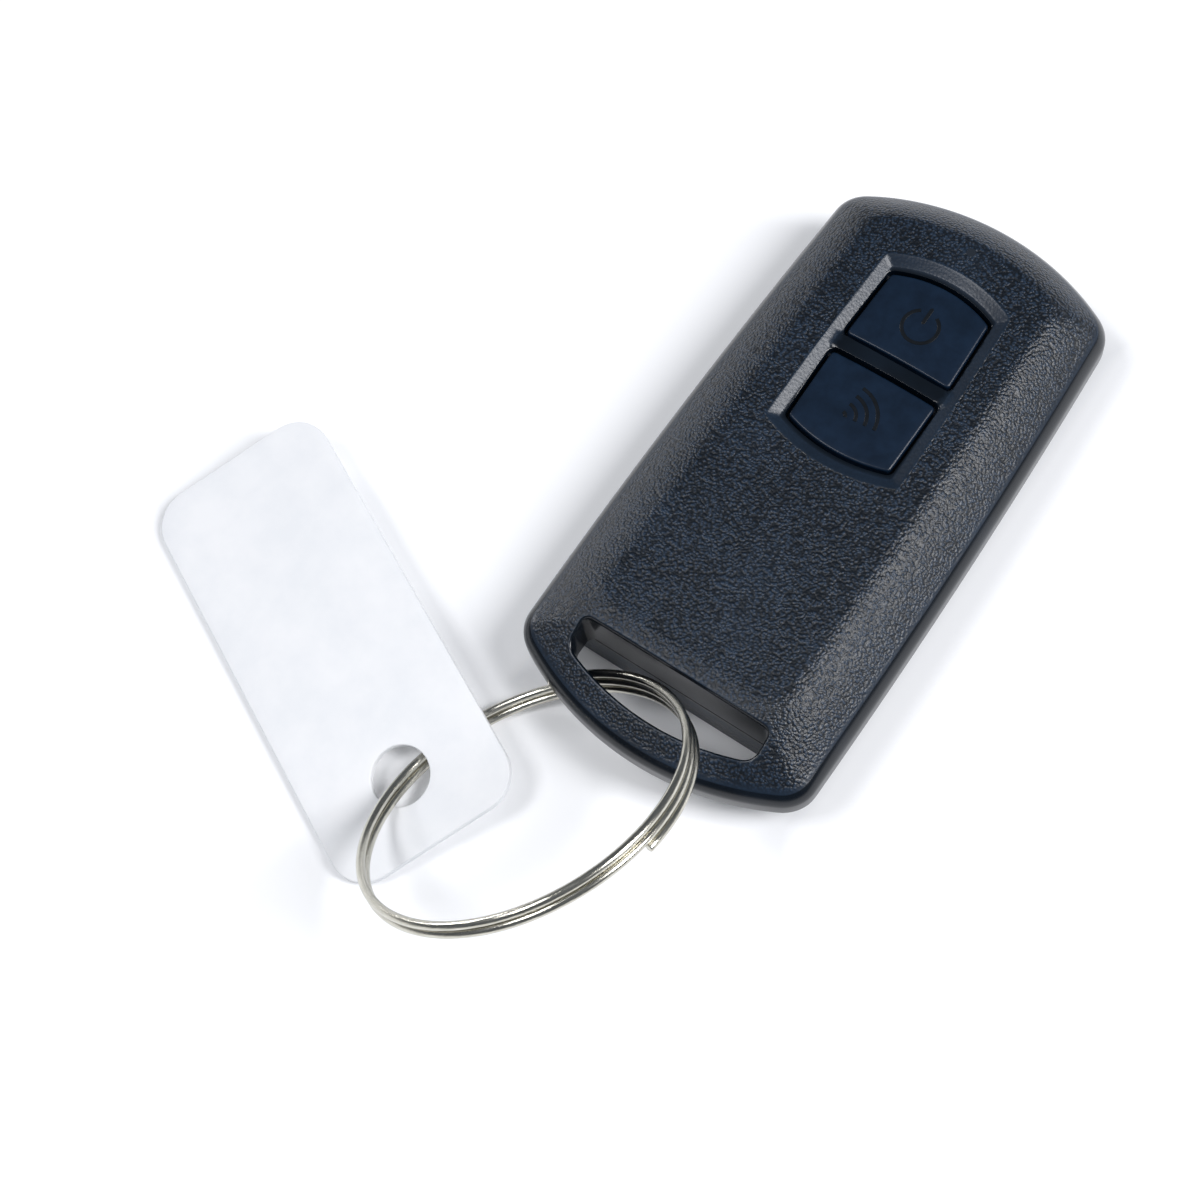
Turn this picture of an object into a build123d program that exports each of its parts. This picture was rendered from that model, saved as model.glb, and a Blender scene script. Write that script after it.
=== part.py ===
from build123d import *
import math
import os

# A two-button smart key fob on a split ring with a plain plastic tag, in millimetres.
# The fob lies on its flat back: +Z is up through the buttons, +Y points to the button end,
# and the origin is on the back face, in the middle of the fob's length and width.

os.makedirs("parts", exist_ok=True)

# Housing outline: two long bowed sides, a rounder button end and a flatter ring end
FOB_LENGTH = 76.2
FOB_WIDTH = 38.0
WIDEST_Y = -14.6
SIDE_BOW_R = 860.0
TOP_ARC_R = 32.4
BOTTOM_ARC_R = 35.4
CORNER_R = 4.5

# Heights of the housing, from the back face upwards
PARTING_Z = 5.3
RIM_Z = 8.3
FACE_Z = 13.2
SHELL_WALL = 1.7
ROOF_Z = 11.2
FLOOR_Z = 1.4
FACE_EDGE = 0.8
RIM_EDGE = 0.5
LOWER_EDGE = 0.3

# Rear case: stepped in under the front case and bevelled down to the back face
REAR_STEP = 0.35
REAR_BEVEL = 3.2
REAR_WALL_Z = 3.4
REAR_WALL_INSET = 2.6
REAR_FLOOR_INSET = 4.0
TONGUE_INSET = 1.8
TONGUE_HEIGHT = 0.9
GASKET_INSET = 1.0
GASKET_WIDTH = 0.66
GASKET_HEIGHT = 0.6
PRY_NOTCH = (7.0, 0.45, 0.9)

# Snap ridges on the rear case's tongue, in pockets of the front case's wall
SNAP_YS = (-14.6, 15.4)
SNAP_LENGTH = 8.0
SNAP_HEIGHT = 0.4
SNAP_PROUD = 0.25
SNAP_PLAY = 0.1

# Flat front face inside its bevels
FACE_HALF_WIDTH = 11.8
FACE_TOP_Y = 32.4
FACE_TOP_R = 27.0
FACE_BOTTOM_Y = -26.5
FACE_CORNER_R = 3.4

# Slot for the split ring, and the bar that it leaves at the end of the front case
SLOT_WALL_Y = -28.5
SLOT_HALF_WIDTH = 12.0
BAR_WIDTH = 3.8
SLOT_CORNER_R = 1.8
SLOT_EDGE = 0.45

# Button recess and the two apertures in it
RECESS_DEPTH = 0.8
RECESS_BORDER = 1.3
APERTURE_TOP_HALF = 6.75
APERTURE_MID_HALF = 7.15
APERTURE_BOTTOM_HALF = 7.0
APERTURE_TOP_Y = 24.8
APERTURE_TOP_APEX_Y = 26.4
APERTURE_BOTTOM_Y = 3.15
APERTURE_BOTTOM_APEX_Y = 1.9
RIB_LOW_Y = 13.18
RIB_HIGH_Y = 15.03
RIB_HEIGHT = 0.25
APERTURE_CORNER_R = 0.9

# Buttons
BUTTON_GAP = 0.42
BUTTON_PROUD = 0.12
BUTTON_EDGE = 0.2
BUTTON_WALL = 1.2
BUTTON_ROOF = 1.1
BUTTON_FLANGE = 0.5
FLANGE_TOP_Z = 10.9
FLANGE_THICK = 0.8
NUB_R = 1.5
NUB_Z = 9.1
SEAL_Z = 10.95
SEAL_BORDER = 1.6

# Light pipe over the status lamp
LED_Y = 31.15
LED_WINDOW_R = 0.55
LED_PIPE_Z = 8.0
LED_FLANGE = (1.8, 0.6)

# Inner frame that carries the board and holds the coin cell
CARRIER_INSET = 4.2
CARRIER_WALL = 1.0
CELL_PLAY = 0.3
WEB_WIDTH = 1.2
WEB_OFFSET = 5.0
WEB_YS = (3.5, 19.0)
TAB = (2.4, 1.0, 0.4)
TABS = [(-11.0, WEB_YS[0]), (11.0, WEB_YS[0])]
POST_SIZE = 1.8
POSTS = [(-10.5, 26.0), (10.5, 26.0), (-10.5, -22.5), (10.5, -22.5)]

# Board, switches and the parts soldered on it
BOARD_Z = 6.2
BOARD_THICK = 0.8
BOARD_INSET = 3.0
SWITCH_SIZE = 4.6
SWITCH_HEIGHT = 1.6
SWITCH_Y = {"upper": 20.3, "lower": 7.8}
SWITCH_CAVITY = (1.9, 0.4, 1.3)
SWITCH_HOLE_R = 1.25
PLUNGER_R = 1.0
PLUNGER_FLANGE = (1.6, 7.9, 8.2)
DOME_R = 1.7
DOME_Z = 7.45
DOME_HEIGHT = 0.4
DOME_THICK = 0.12
DOME_SLOPE = 60
CHIP_HEIGHT = 0.9
ANTENNA_SIZE = 11.0
ANTENNA_Y = -19.0
ANTENNA_BASE = 0.6
ANTENNA_HEIGHT = 3.2

# Coin cell, 20 mm across and 3.2 mm thick
CELL_R = 10.0
CELL_THICK = 3.2
CELL_Y = -12.6
CELL_Z = 1.9
CELL_CAP = 0.3
CONTACT_THICK = 0.25
CONTACT_WIDTH = 3.2

# Split ring: a coil of round wire, leaning where it hangs through the slot
RING_R = 18.86
WIRE_R = 0.5
WIRE_SIDES = 6
RING_PITCH = 1.08
RING_HALF_TURNS = 4.5
RING_CENTRE = (-5.19, -49.13, 13.09)
RING_TILT = 39.4
RING_LEAN_AZIMUTH = 155.7
RING_START_ANGLE = 114.0

# Plain plastic tag, lying on one long edge and lifted by the ring along the other
TAG_WIDTH = 23.0
TAG_LENGTH = 54.0
TAG_THICK = 1.0
TAG_CORNER_R = 4.5
TAG_HOLE_R = 3.5
TAG_HOLE_Y = 8.83
TAG_ORIGIN = (-13.15, -56.77, 2.81)
TAG_X_DIR = (0.429, 0.883, 0.190)
TAG_Z_DIR = (-0.084, -0.170, 0.982)

HALF_LENGTH = FOB_LENGTH / 2
HALF_WIDTH = FOB_WIDTH / 2
TOP_ARC_Y = HALF_LENGTH - TOP_ARC_R
BOTTOM_ARC_Y = BOTTOM_ARC_R - HALF_LENGTH
RECESS_Z = FACE_Z - RECESS_DEPTH
BOARD_TOP_Z = BOARD_Z + BOARD_THICK
SWITCH_TOP_Z = BOARD_TOP_Z + SWITCH_HEIGHT


def side_x(y):
    """Half width of the housing at y: a long arc that is widest at WIDEST_Y."""
    return HALF_WIDTH - (y - WIDEST_Y) ** 2 / (2 * SIDE_BOW_R)


def arc_y(x, radius, centre_y, sign):
    """Height of an end arc at x: sign is +1 for the button end and -1 for the ring end."""
    return centre_y + sign * math.sqrt(radius**2 - x**2)


def four_sided_face(plane, top_half, top_y, top_apex, bottom_half, bottom_y, bottom_apex, middle, radii):
    """Closed outline of two sides and two ends, each an arc through three points."""
    with BuildSketch(plane) as sketch:
        with BuildLine():
            ThreePointArc((bottom_half, bottom_y), (middle[0], middle[1]), (top_half, top_y))
            ThreePointArc((top_half, top_y), (0, top_apex), (-top_half, top_y))
            ThreePointArc((-top_half, top_y), (-middle[0], middle[1]), (-bottom_half, bottom_y))
            ThreePointArc((-bottom_half, bottom_y), (0, bottom_apex), (bottom_half, bottom_y))
        make_face()
        ordered = sketch.vertices().sort_by(Axis.Y)
        fillet(ordered[2:], radii[0])
        ordered = sketch.vertices().sort_by(Axis.Y)
        fillet(ordered[:2], radii[1])
    return sketch.sketch


def housing_face(z, inset=0.0):
    """The housing's outline at height z, drawn in by inset all round."""
    top_half = side_x(32.8)
    bottom_half = side_x(-32.7)
    with BuildSketch(Plane.XY.offset(z)) as sketch:
        add(four_sided_face(
            Plane.XY,
            top_half, arc_y(top_half, TOP_ARC_R, TOP_ARC_Y, 1), HALF_LENGTH,
            bottom_half, arc_y(bottom_half, BOTTOM_ARC_R, BOTTOM_ARC_Y, -1), -HALF_LENGTH,
            (side_x(0), 0), (CORNER_R, CORNER_R),
        ))
        if inset:
            offset(amount=-inset)
    return sketch.sketch


def front_face(z, inset=0.0):
    """The flat front face inside its bevels, drawn at height z and drawn in by inset."""
    half = FACE_HALF_WIDTH - inset
    apex = FACE_TOP_Y - inset
    corner_y = apex - FACE_TOP_R + math.sqrt(FACE_TOP_R**2 - half**2)
    bottom = FACE_BOTTOM_Y + inset
    return four_sided_face(
        Plane.XY.offset(z),
        half, corner_y, apex, half + 0.1, bottom, bottom - 0.25,
        (half + 0.12, 0), (FACE_CORNER_R, FACE_CORNER_R - 1.0),
    )


def body_face(z, inset):
    """The hollow body's outline at height z: the housing cut off at the slot's wall, drawn in."""
    with BuildSketch(Plane.XY.offset(z)) as sketch:
        add(housing_face(0))
        with Locations((0, SLOT_WALL_Y - FOB_LENGTH / 2)):
            Rectangle(2 * FOB_WIDTH, FOB_LENGTH, mode=Mode.SUBTRACT)
        offset(amount=-inset)
    return sketch.sketch


def snap_places(inset):
    """Where the four snap ridges stand, on a wall drawn in by inset from the long sides."""
    z = PARTING_Z + TONGUE_HEIGHT - SNAP_HEIGHT / 2 - 0.1
    return [(sign * (side_x(y) - inset), y, z) for y in SNAP_YS for sign in (-1, 1)]


def body_ring(z, outer_inset, width):
    """A closed band that follows the hollow body's outline, such as a wall or a gasket."""
    with BuildSketch(Plane.XY.offset(z)) as sketch:
        add(body_face(0, outer_inset))
        add(body_face(0, outer_inset + width), mode=Mode.SUBTRACT)
    return sketch.sketch


def aperture_face(plane, which, grow=0.0):
    """One button aperture, or with grow the button that fills it (a negative grow)."""
    if which == "upper":
        top = (APERTURE_TOP_HALF, APERTURE_TOP_Y, APERTURE_TOP_APEX_Y)
        base = (APERTURE_MID_HALF - 0.03, RIB_HIGH_Y, RIB_HIGH_Y + 0.15)
    else:
        top = (APERTURE_MID_HALF, RIB_LOW_Y, RIB_LOW_Y + 0.15)
        base = (APERTURE_BOTTOM_HALF, APERTURE_BOTTOM_Y, APERTURE_BOTTOM_APEX_Y)
    middle = ((top[0] + base[0]) / 2 + 0.02 + grow, (top[1] + base[1]) / 2)
    corner_r = max(APERTURE_CORNER_R + grow, 0.4)
    return four_sided_face(
        plane, top[0] + grow, top[1] + grow, top[2] + grow,
        base[0] + grow, base[1] - grow, base[2] - grow, middle, (corner_r, corner_r),
    )


def recess_face(z, border):
    """The recess round both buttons, as wide as the apertures and a border."""
    with BuildSketch(Plane.XY.offset(z)) as sketch:
        add(four_sided_face(
            Plane.XY,
            APERTURE_TOP_HALF + border, APERTURE_TOP_Y + border, APERTURE_TOP_APEX_Y + 1.4 * border,
            APERTURE_BOTTOM_HALF + 1.2 * border, APERTURE_BOTTOM_Y - border,
            APERTURE_BOTTOM_APEX_Y - 1.4 * border,
            (APERTURE_MID_HALF + border, 14.0), (0.35, 0.35),
        ))
    return sketch.sketch


def slot_face(z):
    """The D-shaped slot: straight along the body, round along the bar."""
    arc_r = BOTTOM_ARC_R - BAR_WIDTH
    end_y = arc_y(SLOT_HALF_WIDTH, arc_r, BOTTOM_ARC_Y, -1)
    with BuildSketch(Plane.XY.offset(z)) as sketch:
        with BuildLine():
            Line((-SLOT_HALF_WIDTH, SLOT_WALL_Y), (SLOT_HALF_WIDTH, SLOT_WALL_Y))
            Line((SLOT_HALF_WIDTH, SLOT_WALL_Y), (SLOT_HALF_WIDTH, end_y))
            ThreePointArc((SLOT_HALF_WIDTH, end_y), (0, BOTTOM_ARC_Y - arc_r), (-SLOT_HALF_WIDTH, end_y))
            Line((-SLOT_HALF_WIDTH, end_y), (-SLOT_HALF_WIDTH, SLOT_WALL_Y))
        make_face()
        ordered = sketch.vertices().sort_by(Axis.Y)
        fillet(ordered[2:], 0.8)
        ordered = sketch.vertices().sort_by(Axis.Y)
        fillet(ordered[:2], SLOT_CORNER_R)
    return sketch.sketch


def slot_edges(context):
    """The edges of a part that lie wholly on the walls of the slot."""
    found = []
    for edge in context.edges():
        box = edge.bounding_box()
        across = max(abs(box.min.X), abs(box.max.X)) < SLOT_HALF_WIDTH + 0.05
        if across and box.min.Y > BAR_WIDTH - HALF_LENGTH - 0.05 and box.max.Y < SLOT_WALL_Y + 0.05:
            found.append(edge)
    return found


def hollow_face(z, corners):
    """A straight-sided section of the front case's hollow, from the corners of its right half."""
    with BuildSketch(Plane.XY.offset(z)) as sketch:
        with BuildLine():
            Polyline(*corners, *[(-x, y) for x, y in reversed(corners)], close=True)
        make_face()
    return sketch.sketch


# Hollow of the front case, over the body and short of the slot
hollow_step_z = RIM_Z - 0.8
roof_half = FACE_HALF_WIDTH + 0.9
roof_corners = [(roof_half, SLOT_WALL_Y + SHELL_WALL + 0.6), (roof_half, 25.6), (roof_half - 3.6, 30.6),
                (4.2, 32.6)]
with BuildPart() as front_hollow:
    add(body_face(PARTING_Z, SHELL_WALL))
    extrude(amount=hollow_step_z - PARTING_Z)
    add(hollow_face(hollow_step_z, roof_corners))
    extrude(amount=ROOF_Z - hollow_step_z)

# Front case: rim, bevels and face, with the button recess, the slot and the roof's openings
with BuildPart() as front_case:
    add(housing_face(PARTING_Z))
    extrude(amount=RIM_Z - PARTING_Z)
    loft(sections=[housing_face(RIM_Z), front_face(FACE_Z)], ruled=True)
    chamfer(front_case.edges().filter_by_position(Axis.Z, FACE_Z - 0.01, FACE_Z + 0.01), FACE_EDGE)
    chamfer(front_case.edges().filter_by_position(Axis.Z, RIM_Z - 0.01, RIM_Z + 0.01), RIM_EDGE)
    chamfer(front_case.faces().sort_by(Axis.Z)[0].edges(), LOWER_EDGE)
    add(front_hollow.part, mode=Mode.SUBTRACT)
    loft(sections=[recess_face(RECESS_Z, 0.0), recess_face(FACE_Z, RECESS_BORDER)], ruled=True,
         mode=Mode.SUBTRACT)
    with BuildSketch(Plane.XY.offset(RECESS_Z)):
        with Locations((0, (RIB_LOW_Y + RIB_HIGH_Y) / 2)):
            Rectangle(2 * (APERTURE_MID_HALF + 0.5), RIB_HIGH_Y - RIB_LOW_Y)
    extrude(amount=RIB_HEIGHT)
    for which in ("upper", "lower"):
        add(aperture_face(Plane.XY.offset(ROOF_Z - 1.0), which))
        extrude(amount=RECESS_DEPTH + 3.0, mode=Mode.SUBTRACT)
    add(slot_face(0))
    extrude(amount=2 * FACE_Z, mode=Mode.SUBTRACT)
    chamfer([edge for edge in slot_edges(front_case) if edge.center().Z < PARTING_Z + 0.1
             and edge.center().Y < SLOT_WALL_Y - 0.1], SLOT_EDGE)
    chamfer([edge for edge in slot_edges(front_case) if edge.bounding_box().min.Z > RIM_Z + 1.0], SLOT_EDGE)
    with Locations((0, LED_Y, FACE_Z)):
        Hole(LED_WINDOW_R, depth=FACE_Z - ROOF_Z + 1.0)
    with BuildSketch(Plane.XY.offset(BOARD_TOP_Z)):
        with Locations(POSTS):
            Rectangle(POST_SIZE, POST_SIZE)
    extrude(amount=ROOF_Z - BOARD_TOP_Z + 0.4)
    with Locations(*snap_places(SHELL_WALL)):
        Box(2 * (SNAP_PROUD + SNAP_PLAY), SNAP_LENGTH + 2 * SNAP_PLAY, SNAP_HEIGHT + 2 * SNAP_PLAY,
            mode=Mode.SUBTRACT)
front_case.part.label = "front_case"
export_step(front_case.part, "parts/front_case.step")

# Rear case: a shallow tray with bevelled walls, cut off flush with the slot's wall
with BuildPart() as rear_case:
    add(housing_face(REAR_WALL_Z, REAR_STEP))
    extrude(amount=PARTING_Z - REAR_WALL_Z)
    loft(sections=[housing_face(0, REAR_STEP + REAR_BEVEL), housing_face(REAR_WALL_Z, REAR_STEP)],
         ruled=True)
    chamfer(rear_case.edges().filter_by_position(Axis.Z, REAR_WALL_Z - 0.01, REAR_WALL_Z + 0.01), 0.5)
    chamfer(rear_case.faces().sort_by(Axis.Z)[0].edges(), 0.3)
    split(bisect_by=Plane.XZ.offset(-SLOT_WALL_Y), keep=Keep.BOTTOM)
    add(body_face(PARTING_Z, TONGUE_INSET))
    extrude(amount=TONGUE_HEIGHT)
    add(body_face(REAR_WALL_Z, REAR_WALL_INSET))
    extrude(amount=PARTING_Z + TONGUE_HEIGHT - REAR_WALL_Z, mode=Mode.SUBTRACT)
    loft(sections=[body_face(FLOOR_Z, REAR_FLOOR_INSET), body_face(REAR_WALL_Z, REAR_WALL_INSET)],
         ruled=True, mode=Mode.SUBTRACT)
    add(body_ring(PARTING_Z - GASKET_HEIGHT, GASKET_INSET, GASKET_WIDTH))
    extrude(amount=GASKET_HEIGHT, mode=Mode.SUBTRACT)
    with Locations((0, HALF_LENGTH - REAR_STEP, PARTING_Z)):
        Box(PRY_NOTCH[0], 2 * PRY_NOTCH[1], 2 * PRY_NOTCH[2], mode=Mode.SUBTRACT)
    with Locations(*snap_places(TONGUE_INSET)):
        Box(2 * SNAP_PROUD, SNAP_LENGTH, SNAP_HEIGHT)
rear_case.part.label = "rear_case"
export_step(rear_case.part, "parts/rear_case.step")

# Silicone gasket in the rear case's groove, pressed by the front case
with BuildPart() as case_gasket:
    add(body_ring(PARTING_Z - GASKET_HEIGHT, GASKET_INSET, GASKET_WIDTH))
    extrude(amount=GASKET_HEIGHT)
case_gasket.part.label = "case_gasket"
export_step(case_gasket.part, "parts/case_gasket.step")

# Clear light pipe from the status lamp to the front face, with a flange under the roof
with BuildPart() as led_window:
    with BuildSketch(Plane.XY.offset(LED_PIPE_Z)):
        with Locations((0, LED_Y)):
            Circle(LED_WINDOW_R)
    extrude(amount=FACE_Z - LED_PIPE_Z)
    with BuildSketch(Plane.XY.offset(ROOF_Z - LED_FLANGE[1])):
        with Locations((0, LED_Y)):
            Rectangle(LED_FLANGE[0], LED_FLANGE[0])
    extrude(amount=LED_FLANGE[1])
led_window.part.label = "led_window"
export_step(led_window.part, "parts/led_window.step")

# Thin silicone sheet round both apertures, under the roof: the buttons' flanges seal on it
with BuildPart() as keypad_seal:
    with BuildSketch(Plane.XY.offset(SEAL_Z)):
        add(recess_face(0, SEAL_BORDER))
        add(aperture_face(Plane.XY, "upper"), mode=Mode.SUBTRACT)
        add(aperture_face(Plane.XY, "lower"), mode=Mode.SUBTRACT)
    extrude(amount=ROOF_Z - SEAL_Z)
keypad_seal.part.label = "keypad_seal"
export_step(keypad_seal.part, "parts/keypad_seal.step")

# Button caps: hollow, with a flange under the roof and a nub that presses the switch
for which in ("upper", "lower"):
    with BuildPart() as button:
        add(aperture_face(Plane.XY.offset(FLANGE_TOP_Z - FLANGE_THICK), which, -BUTTON_GAP))
        extrude(amount=RECESS_Z + BUTTON_PROUD - FLANGE_TOP_Z + FLANGE_THICK)
        chamfer(button.faces().sort_by(Axis.Z)[-1].edges(), BUTTON_EDGE)
        add(aperture_face(Plane.XY.offset(FLANGE_TOP_Z - FLANGE_THICK), which, BUTTON_FLANGE))
        extrude(amount=FLANGE_THICK)
        pocket_depth = RECESS_Z + BUTTON_PROUD - BUTTON_ROOF - FLANGE_TOP_Z + FLANGE_THICK
        add(aperture_face(Plane.XY.offset(FLANGE_TOP_Z - FLANGE_THICK), which, -BUTTON_GAP - BUTTON_WALL))
        extrude(amount=pocket_depth, mode=Mode.SUBTRACT)
        with BuildSketch(Plane.XY.offset(NUB_Z)):
            with Locations((0, SWITCH_Y[which])):
                Circle(NUB_R)
        extrude(amount=FLANGE_TOP_Z - NUB_Z + 0.8)
    button.part.label = f"{which}_button"
    export_step(button.part, f"parts/{which}_button.step")

# Tactile switches on the board: a housing with a cavity, a plunger and a snap dome under it
for which in ("upper", "lower"):
    centre = (0, SWITCH_Y[which])
    with BuildPart() as switch_housing:
        with BuildSketch(Plane.XY.offset(BOARD_TOP_Z)):
            with Locations(centre):
                Rectangle(SWITCH_SIZE, SWITCH_SIZE)
        extrude(amount=SWITCH_HEIGHT)
        with BuildSketch(Plane.XY.offset(BOARD_TOP_Z + SWITCH_CAVITY[1])):
            with Locations(centre):
                Circle(SWITCH_CAVITY[0])
        extrude(amount=SWITCH_CAVITY[2] - SWITCH_CAVITY[1], mode=Mode.SUBTRACT)
        with Locations((*centre, BOARD_TOP_Z + SWITCH_HEIGHT)):
            Hole(SWITCH_HOLE_R, depth=SWITCH_HEIGHT - SWITCH_CAVITY[1])
    switch_housing.part.label = f"{which}_switch"
    export_step(switch_housing.part, f"parts/{which}_switch.step")

    with BuildPart() as plunger:
        with BuildSketch(Plane.XY.offset(PLUNGER_FLANGE[1])):
            with Locations(centre):
                Circle(PLUNGER_FLANGE[0])
        extrude(amount=PLUNGER_FLANGE[2] - PLUNGER_FLANGE[1])
        with BuildSketch(Plane.XY.offset(PLUNGER_FLANGE[2])):
            with Locations(centre):
                Circle(PLUNGER_R)
        extrude(amount=NUB_Z - PLUNGER_FLANGE[2])
    plunger.part.label = f"{which}_plunger"
    export_step(plunger.part, f"parts/{which}_plunger.step")

    with BuildPart() as snap_dome:
        for level, thick, mode in ((DOME_Z, DOME_HEIGHT, Mode.ADD),
                                   (DOME_Z, DOME_HEIGHT - DOME_THICK, Mode.SUBTRACT)):
            with BuildSketch(Plane.XY.offset(level)):
                with Locations(centre):
                    RegularPolygon(DOME_R - (0 if mode == Mode.ADD else DOME_THICK), 8)
            extrude(amount=thick, taper=DOME_SLOPE, mode=mode)
    snap_dome.part.label = f"{which}_snap_dome"
    export_step(snap_dome.part, f"parts/{which}_snap_dome.step")

# Board, with two slots for the carrier's tabs
with BuildPart() as circuit_board:
    add(body_face(BOARD_Z, BOARD_INSET))
    extrude(amount=BOARD_THICK)
    with BuildSketch(Plane.XY.offset(BOARD_Z)):
        with Locations(TABS):
            Rectangle(TAB[0] + 0.2, TAB[1] + 0.2)
    extrude(amount=BOARD_THICK, mode=Mode.SUBTRACT)
circuit_board.part.label = "circuit_board"
export_step(circuit_board.part, "parts/circuit_board.step")

# Flat packages on the board: name, centre and size
for name, centre, size in (
    ("control_chip", (5.6, -4.6), (7.0, 7.0, CHIP_HEIGHT)),
    ("radio_chip", (-6.2, -4.6), (5.0, 5.0, CHIP_HEIGHT)),
    ("quartz_crystal", (-6.2, -9.8), (3.2, 2.5, 0.8)),
    ("status_lamp", (0.0, LED_Y), (1.6, 0.8, 0.6)),
):
    with BuildPart() as package:
        with BuildSketch(Plane.XY.offset(BOARD_TOP_Z)):
            with Locations(centre):
                Rectangle(size[0], size[1])
        extrude(amount=size[2])
        chamfer(package.faces().sort_by(Axis.Z)[-1].edges(), 0.12)
    package.part.label = name
    export_step(package.part, f"parts/{name}.step")

# Resistors and capacitors, in short rows between the chips and the switches
with BuildPart() as chip_components:
    with BuildSketch(Plane.XY.offset(BOARD_TOP_Z)):
        with Locations((-7.5, 12.0)):
            with GridLocations(2.4, 1.9, 2, 6):
                Rectangle(1.6, 0.8)
        with Locations((8.2, 6.5)):
            with GridLocations(1.9, 2.6, 3, 2):
                Rectangle(0.8, 1.6)
        with Locations((-11.6, -15.5), (11.6, -15.5)):
            with GridLocations(1.9, 2.2, 1, 3):
                Rectangle(1.6, 0.8)
    extrude(amount=0.55)
chip_components.part.label = "chip_components"
export_step(chip_components.part, "parts/chip_components.step")

# Low-frequency antenna: a plastic base, a ferrite bobbin with four horns and a square winding
antenna_top_z = BOARD_TOP_Z + ANTENNA_HEIGHT
with BuildPart() as antenna_base:
    with BuildSketch(Plane.XY.offset(BOARD_TOP_Z)):
        with Locations((0, ANTENNA_Y)):
            Rectangle(ANTENNA_SIZE, ANTENNA_SIZE)
    extrude(amount=ANTENNA_BASE)
antenna_base.part.label = "antenna_base"
export_step(antenna_base.part, "parts/antenna_base.step")

with BuildPart() as antenna_core:
    with BuildSketch(Plane.XY.offset(BOARD_TOP_Z + ANTENNA_BASE)):
        with Locations((0, ANTENNA_Y)):
            Rectangle(ANTENNA_SIZE - 5.0, ANTENNA_SIZE - 5.0)
            with GridLocations(ANTENNA_SIZE - 2.6, ANTENNA_SIZE - 2.6, 2, 2):
                Rectangle(2.2, 2.2)
    extrude(amount=ANTENNA_HEIGHT - ANTENNA_BASE - 0.5)
    with BuildSketch(Plane.XY.offset(antenna_top_z - 0.5)):
        with Locations((0, ANTENNA_Y)):
            Rectangle(ANTENNA_SIZE - 0.4, ANTENNA_SIZE - 0.4)
    extrude(amount=0.5)
antenna_core.part.label = "antenna_core"
export_step(antenna_core.part, "parts/antenna_core.step")

with BuildPart() as antenna_winding:
    with BuildSketch(Plane.XY.offset(BOARD_TOP_Z + ANTENNA_BASE)):
        with Locations((0, ANTENNA_Y)):
            Rectangle(ANTENNA_SIZE - 0.8, ANTENNA_SIZE - 5.8)
            Rectangle(ANTENNA_SIZE - 5.8, ANTENNA_SIZE - 0.8)
            Rectangle(ANTENNA_SIZE - 5.0, ANTENNA_SIZE - 5.0, mode=Mode.SUBTRACT)
    extrude(amount=ANTENNA_HEIGHT - ANTENNA_BASE - 0.5)
antenna_winding.part.label = "antenna_winding"
export_step(antenna_winding.part, "parts/antenna_winding.step")

# Carrier: a wall under the board's edge, a round pocket for the coin cell, and webs
pocket_r = CELL_R + CELL_PLAY
with BuildPart() as board_carrier:
    add(body_ring(FLOOR_Z, CARRIER_INSET, CARRIER_WALL))
    extrude(amount=BOARD_Z - FLOOR_Z)
    with BuildSketch(Plane.XY.offset(FLOOR_Z)):
        with Locations((0, CELL_Y)):
            with Locations((0, WEB_OFFSET)):
                Rectangle(2 * (side_x(CELL_Y) - CARRIER_INSET) - 0.4, WEB_WIDTH)
            Circle(pocket_r + CARRIER_WALL)
            Circle(pocket_r, mode=Mode.SUBTRACT)
        for web_y in WEB_YS:
            with Locations((0, web_y)):
                Rectangle(2 * (side_x(web_y) - CARRIER_INSET) - 0.4, WEB_WIDTH)
    extrude(amount=BOARD_Z - FLOOR_Z)
    with BuildSketch(Plane.XY.offset(BOARD_Z)):
        with Locations(TABS):
            Rectangle(TAB[0], TAB[1])
    extrude(amount=BOARD_THICK + TAB[2])
    with Locations((-side_x(CELL_Y) / 2 - 3.0, CELL_Y, FLOOR_Z)):
        Box(7.0, CONTACT_WIDTH + 0.4, 2 * (CONTACT_THICK + 0.1), mode=Mode.SUBTRACT)
board_carrier.part.label = "board_carrier"
export_step(board_carrier.part, "parts/board_carrier.step")

# Coin cell: plus can with a rounded edge, and the smaller minus cap below it
with BuildPart() as coin_cell:
    with BuildSketch(Plane.XY.offset(CELL_Z + CELL_CAP)):
        with Locations((0, CELL_Y)):
            Circle(CELL_R)
    extrude(amount=CELL_THICK - CELL_CAP)
    with BuildSketch(Plane.XY.offset(CELL_Z)):
        with Locations((0, CELL_Y)):
            Circle(CELL_R - 1.1)
    extrude(amount=CELL_CAP)
coin_cell.part.label = "coin_cell"
export_step(coin_cell.part, "parts/coin_cell.step")

# Minus contact: a strip on the floor, raised under the cell, with a leg up to the board
leg_x = -(pocket_r + CARRIER_WALL + 0.9)
with BuildPart() as battery_minus_contact:
    with BuildSketch(Plane.XZ.offset(-CELL_Y - CONTACT_WIDTH / 2)):
        with BuildLine():
            Polyline((leg_x, FLOOR_Z), (leg_x, BOARD_Z), (leg_x + CONTACT_THICK, BOARD_Z),
                     (leg_x + CONTACT_THICK, FLOOR_Z + CONTACT_THICK), (-3.2, FLOOR_Z + CONTACT_THICK),
                     (-1.8, CELL_Z), (1.8, CELL_Z), (3.2, FLOOR_Z + CONTACT_THICK), (5.0, FLOOR_Z + CONTACT_THICK),
                     (5.0, FLOOR_Z), (3.0, FLOOR_Z), (1.7, CELL_Z - CONTACT_THICK),
                     (-1.7, CELL_Z - CONTACT_THICK), (-3.0, FLOOR_Z), close=True)
        make_face()
    extrude(amount=CONTACT_WIDTH)
battery_minus_contact.part.label = "battery_minus_contact"
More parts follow.
